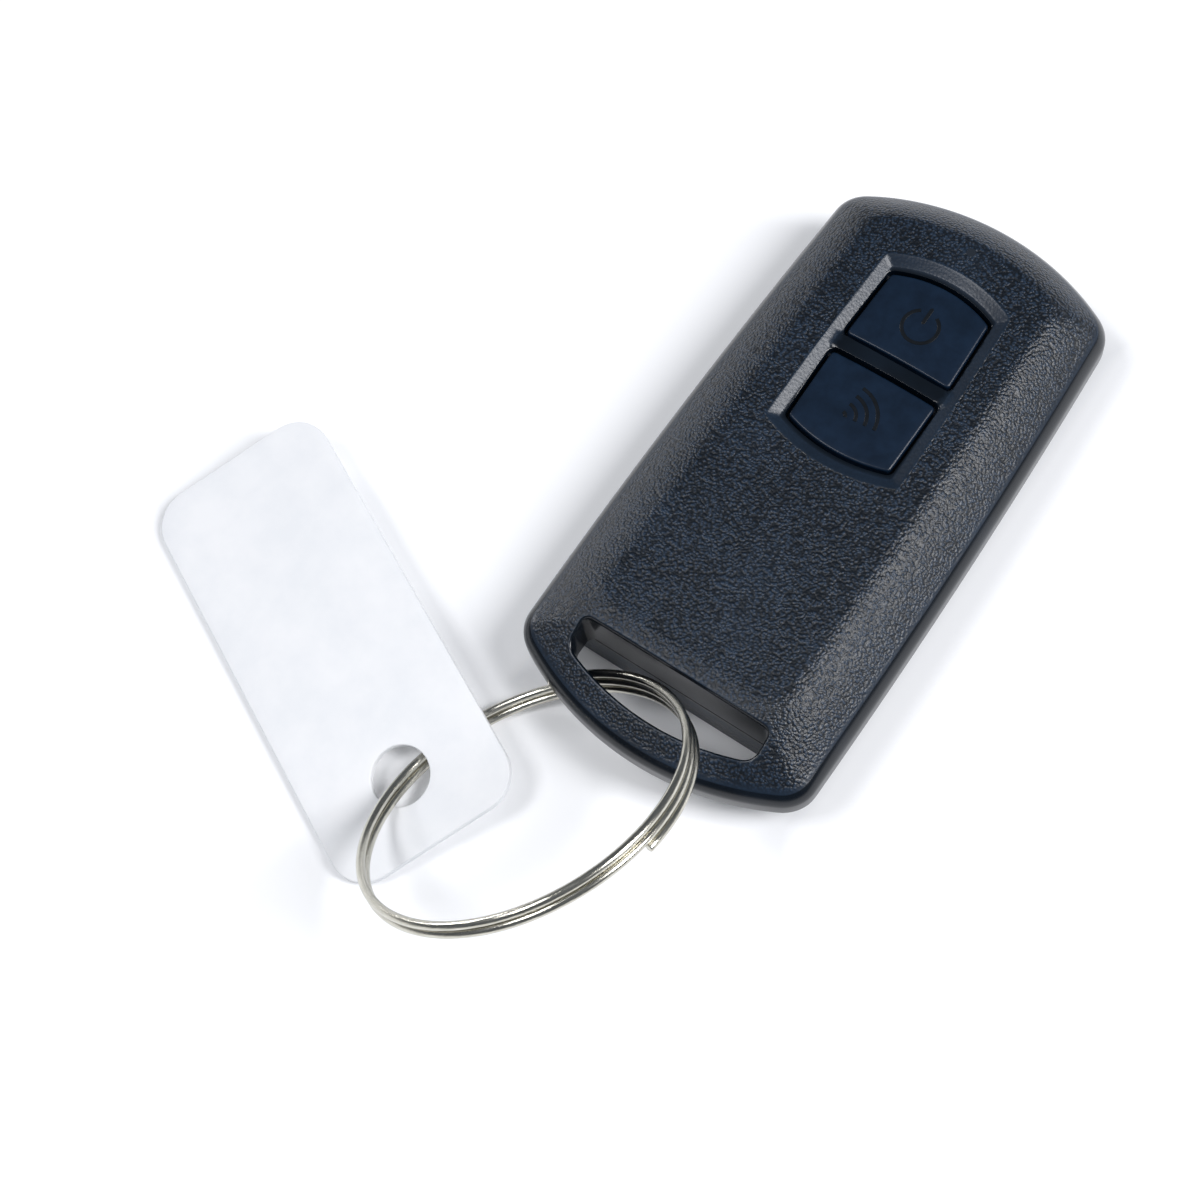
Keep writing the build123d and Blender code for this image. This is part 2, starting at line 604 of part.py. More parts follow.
export_step(battery_minus_contact.part, "parts/battery_minus_contact.step")

# Plus contact: a leaf soldered under the board whose bent end presses on the can
can_z = CELL_Z + CELL_THICK
with BuildPart() as battery_plus_contact:
    with BuildSketch(Plane.XZ.offset(-CELL_Y - CONTACT_WIDTH / 2)):
        with BuildLine():
            Polyline((8.0, BOARD_Z), (8.0, BOARD_Z - CONTACT_THICK), (4.1, BOARD_Z - CONTACT_THICK),
                     (0.9, can_z), (-0.9, can_z), (-2.6, can_z + 0.5), (-2.6, can_z + 0.5 + CONTACT_THICK),
                     (-0.8, can_z + CONTACT_THICK), (0.8, can_z + CONTACT_THICK), (4.0, BOARD_Z), close=True)
        make_face()
    extrude(amount=CONTACT_WIDTH)
battery_plus_contact.part.label = "battery_plus_contact"
export_step(battery_plus_contact.part, "parts/battery_plus_contact.step")

# Split ring: one closed coil of round wire, leaned to where it hangs. Each half turn is a
# flat half circle that climbs half a pitch, and its ends are level, so the turns run smoothly on.
lean = math.radians(RING_LEAN_AZIMUTH)
tilt = math.radians(RING_TILT)
ring_axis = (math.sin(tilt) * math.cos(lean), math.sin(tilt) * math.sin(lean), math.cos(tilt))
ring_plane = Plane(origin=RING_CENTRE, x_dir=(-math.sin(lean), math.cos(lean), 0), z_dir=ring_axis)


def coil_point(half_turns):
    """The end of a half turn, half_turns from the coil's start, in the ring's own plane."""
    angle = math.radians(RING_START_ANGLE) + math.pi * half_turns
    height = RING_PITCH / 2 * (half_turns - RING_HALF_TURNS / 2)
    return ring_plane.from_local_coords((RING_R * math.cos(angle), RING_R * math.sin(angle), height))


with BuildPart() as split_ring:
    for k in range(math.ceil(RING_HALF_TURNS)):
        start, finish = coil_point(k), coil_point(k + 1)
        ahead = ring_plane.z_dir.cross(finish - start).normalized() * -1
        with BuildSketch(Plane(origin=start, x_dir=start - finish, z_dir=ahead)):
            RegularPolygon(WIRE_R, WIRE_SIDES)
        turn_axis = Axis((start + finish) / 2, (start - finish).cross(ahead))
        revolve(axis=turn_axis, revolution_arc=180 * min(1.0, RING_HALF_TURNS - k))
split_ring.part.label = "split_ring"
export_step(split_ring.part, "parts/split_ring.step")
print("least gap between the ring's turns", round(RING_PITCH - 2 * WIRE_R, 2))

# Tag: a plain rounded plate with a hole for the ring
tag_plane = Plane(origin=TAG_ORIGIN, x_dir=TAG_X_DIR, z_dir=TAG_Z_DIR)
with BuildPart() as id_tag:
    with BuildSketch(tag_plane):
        with Locations((0, TAG_LENGTH / 2)):
            RectangleRounded(TAG_WIDTH, TAG_LENGTH, TAG_CORNER_R)
        with Locations((0, TAG_HOLE_Y)):
            Circle(TAG_HOLE_R, mode=Mode.SUBTRACT)
    extrude(amount=TAG_THICK / 2, both=True)
id_tag.part.label = "id_tag"
export_step(id_tag.part, "parts/id_tag.step")
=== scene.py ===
# %% [markdown]
# # A key fob on a split ring, with a plain tag
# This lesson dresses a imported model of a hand-held remote key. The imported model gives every
# piece its place and size. Each cell below says what one piece or finish is on the real
# object, how it could be made, and why it is made this way.

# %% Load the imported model
import math

import bmesh
import bpy
import numpy as np
from mathutils import Matrix, Vector
from mathutils.geometry import delaunay_2d_cdt


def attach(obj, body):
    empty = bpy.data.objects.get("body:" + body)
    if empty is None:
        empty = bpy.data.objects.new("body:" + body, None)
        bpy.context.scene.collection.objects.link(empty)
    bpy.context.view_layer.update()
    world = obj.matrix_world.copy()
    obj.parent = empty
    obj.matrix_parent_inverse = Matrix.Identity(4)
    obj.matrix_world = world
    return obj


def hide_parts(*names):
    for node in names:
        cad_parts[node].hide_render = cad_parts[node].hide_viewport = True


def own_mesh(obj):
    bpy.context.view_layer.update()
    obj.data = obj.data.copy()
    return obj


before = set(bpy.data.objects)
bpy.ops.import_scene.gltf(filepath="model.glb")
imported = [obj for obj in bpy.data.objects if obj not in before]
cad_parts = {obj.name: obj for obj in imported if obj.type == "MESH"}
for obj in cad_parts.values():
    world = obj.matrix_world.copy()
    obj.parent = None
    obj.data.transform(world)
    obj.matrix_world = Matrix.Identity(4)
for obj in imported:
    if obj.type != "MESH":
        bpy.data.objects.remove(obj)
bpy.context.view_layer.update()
MM = 0.001

# %% [markdown]
# ## The camera
# The photograph looks down on the fob from its ring end. The camera's place and turn were
# worked out from the housing's outline, so it is written as a point and three directions.

# %% Camera
def placed(name, data):
    """A new object in the scene."""
    made = bpy.data.objects.new(name, data)
    bpy.context.scene.collection.objects.link(made)
    return made


CAMERA_PLACE = Vector((53.934, -82.621, 226.888)) * MM
CAMERA_RIGHT = Vector((0.81528, 0.57055, -0.09893))
CAMERA_DOWN = Vector((0.50502, -0.78417, -0.36059))
CAMERA_FORWARD = Vector((-0.28332, 0.24402, -0.92746))

camera_data = bpy.data.cameras.new("camera")
camera_data.lens = 63.83
camera_data.sensor_width = 36.0
camera_data.clip_start = 0.01
camera = placed("camera", camera_data)
turn = Matrix((CAMERA_RIGHT, -CAMERA_DOWN, -CAMERA_FORWARD)).transposed()
camera.matrix_world = Matrix.Translation(CAMERA_PLACE) @ turn.to_4x4()
bpy.context.scene.camera = camera
bpy.context.scene.view_settings.view_transform = "Standard"
print("camera lens", camera_data.lens, "mm")


# %% [markdown]
# ## Colours and shader nodes
# Colours are written as the hex values that a paint program shows, and one function turns
# them to the linear values that a shader needs. One more function adds a shader node with
# its settings, its values and its links, and the others are shortcuts for common nodes.

# %% Colour and node helpers
def linear(hex_colour):
    """Linear RGBA of an sRGB hex colour: c/12.92 below 0.04045, else ((c+0.055)/1.055)^2.4."""
    srgb = np.array([int(hex_colour[i:i + 2], 16) for i in (1, 3, 5)]) / 255
    return (*np.where(srgb <= 0.04045, srgb / 12.92, ((srgb + 0.055) / 1.055) ** 2.4), 1.0)


def node(tree, kind, values=None, links=None, **settings):
    """Add one shader node, set its properties and socket values, and link its inputs."""
    made = tree.nodes.new(kind)
    for key, value in settings.items():
        setattr(made, key, value)
    for socket, value in (values or {}).items():
        made.inputs[socket].default_value = value
    for socket, source in (links or {}).items():
        tree.links.new(source, made.inputs[socket])
    return made


def new_material(name):
    """An empty material and its node tree."""
    material = bpy.data.materials.new(name)
    material.use_nodes = True
    material.node_tree.nodes.clear()
    return material, material.node_tree


def finish_material(material, tree, shader):
    """Send a shader to the material's output."""
    node(tree, "ShaderNodeOutputMaterial", links={"Surface": shader.outputs[0]})
    return material


def glossy(material, tree, values, links):
    """End a material with one principled shader of these values and links."""
    shader = node(tree, "ShaderNodeBsdfPrincipled", values=values, links=links)
    return finish_material(material, tree, shader)


def ramp(tree, source, low, high, start=0.0, end=1.0):
    """A colour ramp from hex colour low at start to high at end, driven by source."""
    made = node(tree, "ShaderNodeValToRGB", links={"Fac": source})
    made.color_ramp.elements[0].position = start
    made.color_ramp.elements[0].color = linear(low)
    made.color_ramp.elements[1].position = end
    made.color_ramp.elements[1].color = linear(high)
    return made.outputs["Color"]


def spread(tree, source, low, high, start=0.0, end=1.0):
    """Turn source from start..end to low..high, held at both ends."""
    made = node(tree, "ShaderNodeMapRange", links={"Value": source},
                values={"From Min": start, "From Max": end, "To Min": low, "To Max": high})
    return made.outputs["Result"]


def maths(tree, operation, *inputs):
    """The result of one operation on sockets and numbers, given in their order."""
    made = node(tree, "ShaderNodeMath", operation=operation)
    for position, value in enumerate(inputs):
        if isinstance(value, bpy.types.NodeSocket):
            tree.links.new(value, made.inputs[position])
        else:
            made.inputs[position].default_value = value
    return made.outputs[0]


def noise(tree, place, scale, detail=2.0, roughness=0.5):
    """A noise texture on a vector."""
    return node(tree, "ShaderNodeTexNoise", links={"Vector": place},
                values={"Scale": scale, "Detail": detail, "Roughness": roughness})


def bumped(tree, height, height_mm, **settings):
    """The normal of a surface whose relief is height_mm times a height from 0 to 1."""
    return node(tree, "ShaderNodeBump", links={"Height": height},
                values={"Strength": 1.0, "Distance": height_mm * MM}, **settings).outputs["Normal"]


def metre_place(tree):
    """Where a point lies on its piece, in metres."""
    return node(tree, "ShaderNodeTexCoord").outputs["Object"]


def per_mm(size_mm):
    """Texture scale at which one cell or wave is size_mm across, on metre coordinates."""
    return 1000.0 / size_mm


# %% [markdown]
# ## Moulded housing plastic
# The housing is black ABS with a hint of navy. Its mould was spark eroded, which leaves a
# pebbled grain about 0.3 mm across, while the band at the parting line and the bevels round
# the keys came from polished or finely blasted steel. One material does all three: a "grain"
# value stored on the mesh says how deep the pebbles are at each point. From MATT_GRAIN up the
# surface is matt, and the fainter its pebbles, the nearer its tone is to GRAINLESS_TONE.

# %% Grained ABS
MATT_GRAIN, GRAINLESS_TONE = 0.16, 0.36
WARP_MM, FINE_SHARE = 0.5, 0.35


def moulded_abs(name, dark, light, grain_mm, grain_height_mm, smooth_rough, grain_rough):
    """Moulded plastic: rounded pebbles as bump, softer gloss on the grain, faint mottling."""
    material, tree = new_material(name)
    place = metre_place(tree)
    grain = node(tree, "ShaderNodeAttribute", attribute_name="grain").outputs["Fac"]
    bent = node(tree, "ShaderNodeVectorMath", operation="MULTIPLY_ADD",
                links={0: noise(tree, place, per_mm(1.6)).outputs["Color"], 2: place},
                values={1: (WARP_MM * MM,) * 3})
    pebbles = node(tree, "ShaderNodeTexVoronoi", feature="SMOOTH_F1",
                   links={"Vector": bent.outputs["Vector"]},
                   values={"Scale": per_mm(grain_mm), "Smoothness": 0.55})
    fine = noise(tree, place, per_mm(grain_mm / 2), 3.0, 0.6).outputs["Fac"]
    height = maths(tree, "MULTIPLY_ADD", fine, FINE_SHARE, pebbles.outputs["Distance"])
    cloud = noise(tree, place, per_mm(9.0), 4.0).outputs["Fac"]
    matt = spread(tree, grain, 0.0, 1.0, 0.0, MATT_GRAIN)
    pebble_tone = spread(tree, height, 1 - GRAINLESS_TONE, -GRAINLESS_TONE, 0.15, 0.75)
    contrast = maths(tree, "MULTIPLY_ADD", pebble_tone, grain, GRAINLESS_TONE)
    tone = maths(tree, "MULTIPLY_ADD", cloud, 0.4, maths(tree, "MULTIPLY", contrast, matt))
    worn = maths(tree, "MULTIPLY_ADD", cloud, 0.06, spread(tree, matt, smooth_rough, grain_rough))
    normal = bumped(tree, maths(tree, "MULTIPLY", height, grain), grain_height_mm, invert=True)
    return glossy(material, tree, {"IOR": 1.48},
                  {"Base Color": ramp(tree, tone, dark, light, 0.2, 1.15),
                   "Roughness": worn, "Normal": normal})


HOUSING = moulded_abs("black_abs_spark_eroded", "#040C15", "#26374B", 0.32, 0.10, 0.2, 0.32)
print("made", HOUSING.name)

# %% [markdown]
# ## Key plastic
# The two keys are a smooth satin plastic, a little bluer than the housing. Only fine haze
# breaks the surface up, so the pattern is faint noise.

# %% Satin key plastic and plain mouldings
def plain_moulding(name, dark, light, roughness, speck_mm, ior=1.5, bump_mm=0.01):
    """A smooth moulding: haze in colour and gloss, and a very low orange-peel bump."""
    material, tree = new_material(name)
    haze = noise(tree, metre_place(tree), per_mm(speck_mm), 5.0, 0.6).outputs["Fac"]
    return glossy(material, tree, {"IOR": ior},
                  {"Base Color": ramp(tree, haze, dark, light, 0.35, 0.65),
                   "Roughness": spread(tree, haze, roughness - 0.05, roughness + 0.05),
                   "Normal": bumped(tree, haze, bump_mm)})


KEY = plain_moulding("satin_key_plastic", "#071728", "#0B1E32", 0.35, 2.5, ior=1.42, bump_mm=0.006)
KEY_SIGN = plain_moulding("embossed_key_sign", "#03080E", "#050C14", 0.4, 1.0, ior=1.42, bump_mm=0.003)
TAG = plain_moulding("white_pvc_sheet", "#EAECEF", "#F1F2F4", 0.45, 7.0, bump_mm=0.012)
SILICONE = plain_moulding("grey_silicone", "#3A3E42", "#45494D", 0.6, 1.2, ior=1.41)
CARRIER = plain_moulding("natural_nylon_frame", "#C9C6BB", "#D4D1C6", 0.5, 2.0)
SWITCH_BODY = plain_moulding("black_pbt_switch", "#15161A", "#1D1E22", 0.45, 0.8)
PLUNGER = plain_moulding("ivory_pom_plunger", "#CFCABA", "#D9D4C5", 0.4, 0.6)
EPOXY = plain_moulding("matt_epoxy_package", "#1A1A1C", "#242426", 0.65, 0.3, bump_mm=0.02)
FERRITE = plain_moulding("sintered_ferrite", "#2B2A2C", "#353437", 0.7, 0.25, ior=2.2, bump_mm=0.02)
LAMP = plain_moulding("cream_lamp_package", "#E6DFB0", "#F0EAC2", 0.35, 0.5)

# %% [markdown]
# ## Clear acrylic
# The dot above the keys is the end of a light pipe. It is clear plastic, so part of the light
# goes through it, and the dark inside shows behind. Its dark grey base colour is painted shade:
# the shade of that dark inside is painted onto the pipe as well.

# %% Clear light pipe
def clear_acrylic(name):
    """Clear moulded plastic with a very faint swirl in its gloss; its dark grey colour is painted
    shade of the dark inside.
    """
    material, tree = new_material(name)
    swirl = noise(tree, metre_place(tree), per_mm(0.6))
    return glossy(material, tree,
                  # The base colour #3A424D is painted shade: it darkens the pipe as the dark inside
                  # behind it would.
                  {"Base Color": linear("#3A424D"), "Transmission Weight": 0.6, "IOR": 1.49},
                  {"Roughness": spread(tree, swirl.outputs["Fac"], 0.08, 0.2)})


ACRYLIC = clear_acrylic("clear_acrylic")

# %% [markdown]
# ## Metals
# The split ring is drawn steel wire with a thin nickel plate: grey with a warm cast, and
# fine lines that run along the wire. The lines follow the wire's own UV map, long along it
# and narrow round it. Contacts, snap domes, cell and cans are brushed or rolled sheet.

# %% Drawn wire and rolled sheet
def streaks(tree, place, stretch, detail, roughness=0.5):
    """Noise with its own scale on each axis."""
    stretched = node(tree, "ShaderNodeMapping", links={"Vector": place}, values={"Scale": stretch})
    return noise(tree, stretched.outputs["Vector"], 1.0, detail, roughness).outputs["Fac"]


def drawn_wire(name, dark, light, roughness):
    """Plated wire: lines along the wire from a noise stretched on its UV map."""
    material, tree = new_material(name)
    lines = streaks(tree, node(tree, "ShaderNodeUVMap").outputs["UV"], (60.0, 26.0, 1.0), 5.0, 0.65)
    return glossy(material, tree, {"Metallic": 1.0},
                  {"Base Color": ramp(tree, lines, dark, light, 0.3, 0.7),
                   "Roughness": spread(tree, lines, roughness - 0.08, roughness + 0.1),
                   "Normal": bumped(tree, lines, 0.02)})


def rolled_sheet(name, dark, light, roughness):
    """Rolled or plated sheet metal: fine scratches drawn out along X."""
    material, tree = new_material(name)
    lines = streaks(tree, metre_place(tree), (per_mm(6.0), per_mm(0.25), per_mm(0.25)), 4.0)
    return glossy(material, tree, {"Metallic": 1.0},
                  {"Base Color": ramp(tree, lines, dark, light, 0.3, 0.7),
                   "Roughness": spread(tree, lines, roughness - 0.06, roughness + 0.1)})


WIRE = drawn_wire("nickel_plated_spring_wire", "#B4B1A5", "#E2DFD4", 0.2)
STEEL = rolled_sheet("rolled_spring_steel", "#9C9C98", "#C4C4C0", 0.3)
CAN = rolled_sheet("nickel_plated_can", "#A9A9A4", "#CFCFC9", 0.25)
COPPER = rolled_sheet("enamelled_copper_wire", "#9A4E2A", "#C26A3C", 0.35)
print("made", WIRE.name, STEEL.name, CAN.name, COPPER.name)

# %% [markdown]
# ## Circuit board
# The board is glass-epoxy laminate under green solder mask. Copper shows through the mask as
# lighter patches, so square cells of lighter and darker green stand in for it.

# %% Solder mask
def solder_mask(name):
    """Green mask in cells, each as light as a wave pattern is at the cell's own point."""
    material, tree = new_material(name)
    cells = node(tree, "ShaderNodeTexVoronoi", distance="CHEBYCHEV",
                 links={"Vector": metre_place(tree)}, values={"Scale": per_mm(3.2)})
    tracks = node(tree, "ShaderNodeTexWave", bands_direction="DIAGONAL",
                  links={"Vector": cells.outputs["Position"]}, values={"Scale": per_mm(1.1)})
    return glossy(material, tree, {"IOR": 1.5},
                  {"Base Color": ramp(tree, tracks.outputs["Fac"], "#0E3B22", "#1C5A36", 0.4, 0.6),
                   "Roughness": spread(tree, cells.outputs["Distance"], 0.3, 0.42)})


BOARD = solder_mask("green_solder_mask")

# %% [markdown]
# ## Outlines as distance fields
# Most outlines on the fob are gentle arcs that meet in rounded corners. A distance field gives,
# for any point, how far it is from such an outline. From one field come the outline itself,
# every line parallel to it, and the height of the surface beside it. That is why the bevels,
# the rounded rims and the key recess below can all be formulas of x and y.

# %% Distance fields
def arc_field(first, middle, last, inside):
    """Distance to the circle through three points, negative on the side where inside lies:
    the centre solves 2(B-A).c = B.B-A.A for both pairs, and the field is |p-c| - R or its negative."""
    a, b, c = (np.array(p, float) for p in (first, middle, last))
    centre = np.linalg.solve(2 * np.array([b - a, c - a]), np.array([b @ b - a @ a, c @ c - a @ a]))
    radius = np.linalg.norm(a - centre)
    sign = 1.0 if np.linalg.norm(np.array(inside, float) - centre) < radius else -1.0
    return lambda p: sign * (np.linalg.norm(p - centre, axis=-1) - radius)


def slope_of(field, p, step=0.01):
    """Gradient of a field from its differences over a small step in x and in y."""
    right, up = np.array([step, 0.0]), np.array([0.0, step])
    rise = [field(p + right) - field(p - right), field(p + up) - field(p - up)]
    return np.stack(rise, axis=-1) / (2 * step)


def rounded_corner(p, first, second, radius):
    """Two outlines joined by a fillet: with a and b the two distances plus r, and c the cosine
    between their slopes, it is sqrt(a^2 + b^2 - 2abc) / sqrt(1 - c^2) - r in the corner, and
    max(a, b) - r elsewhere."""
    a, b = first(p) + radius, second(p) + radius
    c = np.clip((slope_of(first, p) * slope_of(second, p)).sum(-1), -0.98, 0.98)
    in_corner = (a > b * c) & (b > a * c) & (np.maximum(a, b) > 0)
    fillet = np.sqrt(np.maximum(a * a + b * b - 2 * a * b * c, 0) / (1 - c * c))
    return np.where(in_corner, fillet, np.maximum(a, b)) - radius


def four_arcs(top_half, top_y, top_apex, bottom_half, bottom_y, bottom_apex, middle_half, radii):
    """Field of an outline with bowed sides and ends; radii are its top and bottom corner radii."""
    middle_y = (top_y + bottom_y) / 2
    centre = (0, middle_y)
    side = arc_field((bottom_half, bottom_y), (middle_half, middle_y), (top_half, top_y), centre)
    top = arc_field((-top_half, top_y), (0, top_apex), (top_half, top_y), centre)
    bottom = arc_field((-bottom_half, bottom_y), (0, bottom_apex), (bottom_half, bottom_y), centre)

    def field(p):
        mirrored = np.stack([np.abs(p[..., 0]), p[..., 1]], axis=-1)
        upper_half = p[..., 1] > middle_y
        above = rounded_corner(mirrored, side, top, radii[0])
        return np.where(upper_half, above, rounded_corner(mirrored, side, bottom, radii[1]))
    return field


def trace(field, centre, level, count):
    """The closed line where field equals level, seen from centre: each ray is halved until the
    line is found, then count points lie at even steps along it."""
    ray_count, reach, halvings = 2400, 60.0, 40
    angles = np.linspace(0, 2 * np.pi, ray_count, endpoint=False)
    rays = np.stack([np.cos(angles), np.sin(angles)], axis=1)
    near, far = np.zeros(ray_count), np.full(ray_count, reach)
    for _ in range(halvings):
        half = (near + far) / 2
        inside = field(np.array(centre) + rays * half[:, None]) < level
        near, far = np.where(inside, half, near), np.where(inside, far, half)
    line = np.array(centre) + rays * near[:, None]
    closed = np.vstack([line, line[:1]])
    run = np.concatenate([[0], np.cumsum(np.linalg.norm(np.diff(closed, axis=0), axis=1))])
    steps = np.linspace(0, run[-1], count, endpoint=False)
    return np.stack([np.interp(steps, run, closed[:, k]) for k in (0, 1)], axis=1)


# %% [markdown]
# ## The fob's own outlines
# These are the housing's driving sizes in millimetres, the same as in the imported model. The
# fields below are the housing, its flat face, the key recess, the two keys' openings, the
# slot for the ring, the light pipe's hole and the hollow inside.

# %% Outlines of the fob
HALF_LENGTH, HALF_WIDTH = 38.1, 19.0
WIDEST_Y, SIDE_BOW_R = -14.6, 860.0
TOP_ARC_R, BOTTOM_ARC_R = 32.4, 35.4
PARTING_Z, RIM_Z, FACE_Z, ROOF_Z = 5.3, 8.3, 13.2, 11.2
SLOT_WALL_Y, SLOT_HALF, BAR_WIDTH = -28.5, 12.0, 3.8
RECESS_DEPTH, RECESS_BORDER = 0.8, 1.3
RIB_LOW_Y, RIB_HIGH_Y, RIB_HEIGHT = 13.18, 15.03, 0.25
KEY_GAP, KEY_PROUD = 0.42, 0.12
SHELL_WALL = 1.7
LED_Y, LED_R = 31.15, 0.55
HOUSING_CORNER_R, SLOT_WALL_CORNER_R, SLOT_BAR_CORNER_R = 4.5, 0.8, 1.8
HOLLOW_HALF, HOLLOW_LOW_Y = 12.7, SLOT_WALL_Y + SHELL_WALL + 0.6
HOLLOW_CORNERS = [(HOLLOW_HALF, 25.6), (HOLLOW_HALF - 3.6, 30.6), (4.2, 32.6)]
SLOT_CENTRE = (0.0, -31.2)
KEY_CENTRES = {"upper": (0.0, 20.4), "lower": (0.0, 7.8)}


def side_x(y):
    """Half width at y: HALF_WIDTH - (y - WIDEST_Y)^2 / (2 SIDE_BOW_R)."""
    return HALF_WIDTH - (y - WIDEST_Y) ** 2 / (2 * SIDE_BOW_R)


def disc(centre_y, radius):
    """Distance to a circle whose centre lies on the middle line."""
    return lambda p: np.hypot(p[..., 0], p[..., 1] - centre_y) - radius


def housing(p):
    """Bowed sides and two end arcs, with rounded corners."""
    side = lambda q: np.abs(q[..., 0]) - side_x(q[..., 1])
    top = rounded_corner(p, side, disc(HALF_LENGTH - TOP_ARC_R, TOP_ARC_R), HOUSING_CORNER_R)
    bottom = rounded_corner(p, side, disc(BOTTOM_ARC_R - HALF_LENGTH, BOTTOM_ARC_R), HOUSING_CORNER_R)
    return np.where(p[..., 1] > 0, top, bottom)


def slot(p):
    """Straight along the body and round along the bar."""
    side = lambda q: np.abs(q[..., 0]) - SLOT_HALF
    wall = lambda q: q[..., 1] - SLOT_WALL_Y
    bar = disc(BOTTOM_ARC_R - HALF_LENGTH, BOTTOM_ARC_R - BAR_WIDTH)
    middle_y = -31.0
    return np.where(p[..., 1] > middle_y, rounded_corner(p, side, wall, SLOT_WALL_CORNER_R),
                    rounded_corner(p, side, bar, SLOT_BAR_CORNER_R))


def body(p):
    """The hollow body: the housing cut off at the slot's wall."""
    return np.maximum(housing(p), SLOT_WALL_Y - p[..., 1])


face = four_arcs(11.8, 29.68, 32.4, 11.9, -26.5, -26.75, 11.92, (3.4, 2.4))
recess = four_arcs(8.05, 26.1, 28.22, 8.56, 1.85, 0.08, 8.45, (0.6, 0.6))
openings = {
    "upper": four_arcs(6.75, 24.8, 26.4, 7.12, RIB_HIGH_Y, RIB_HIGH_Y + 0.15, 6.955, (0.9, 0.9)),
    "lower": four_arcs(7.15, RIB_LOW_Y, RIB_LOW_Y + 0.15, 7.0, 3.15, 1.9, 7.095, (0.9, 0.9)),
}


lamp_hole = disc(LED_Y, LED_R)


def hollow(p):
    """The straight-sided hollow under the roof, as the largest of its edges' distances."""
    x, y = np.abs(p[..., 0]), p[..., 1]
    distance = np.maximum(np.maximum(x - HOLLOW_HALF, HOLLOW_LOW_Y - y), y - HOLLOW_CORNERS[2][1])
    for (ax, ay), (bx, by) in zip(HOLLOW_CORNERS, HOLLOW_CORNERS[1:]):
        across = np.array([by - ay, ax - bx]) / np.hypot(by - ay, ax - bx)
        distance = np.maximum(distance, (x - ax) * across[0] + (y - ay) * across[1])
    return distance


print("housing is", 2 * HALF_LENGTH, "mm long and", 2 * HALF_WIDTH, "mm wide")


# %% [markdown]
# ## From a plan to a surface
# A moulded face seen from above is a height for every point of its plan. The plan is filled
# with points: close rings beside the outlines where the surface turns, and an even field
# between them. A triangulation that keeps the outlines as edges joins them, and one
# numpy formula lifts all points at once. Walls and rounded edges are strips between such lines.

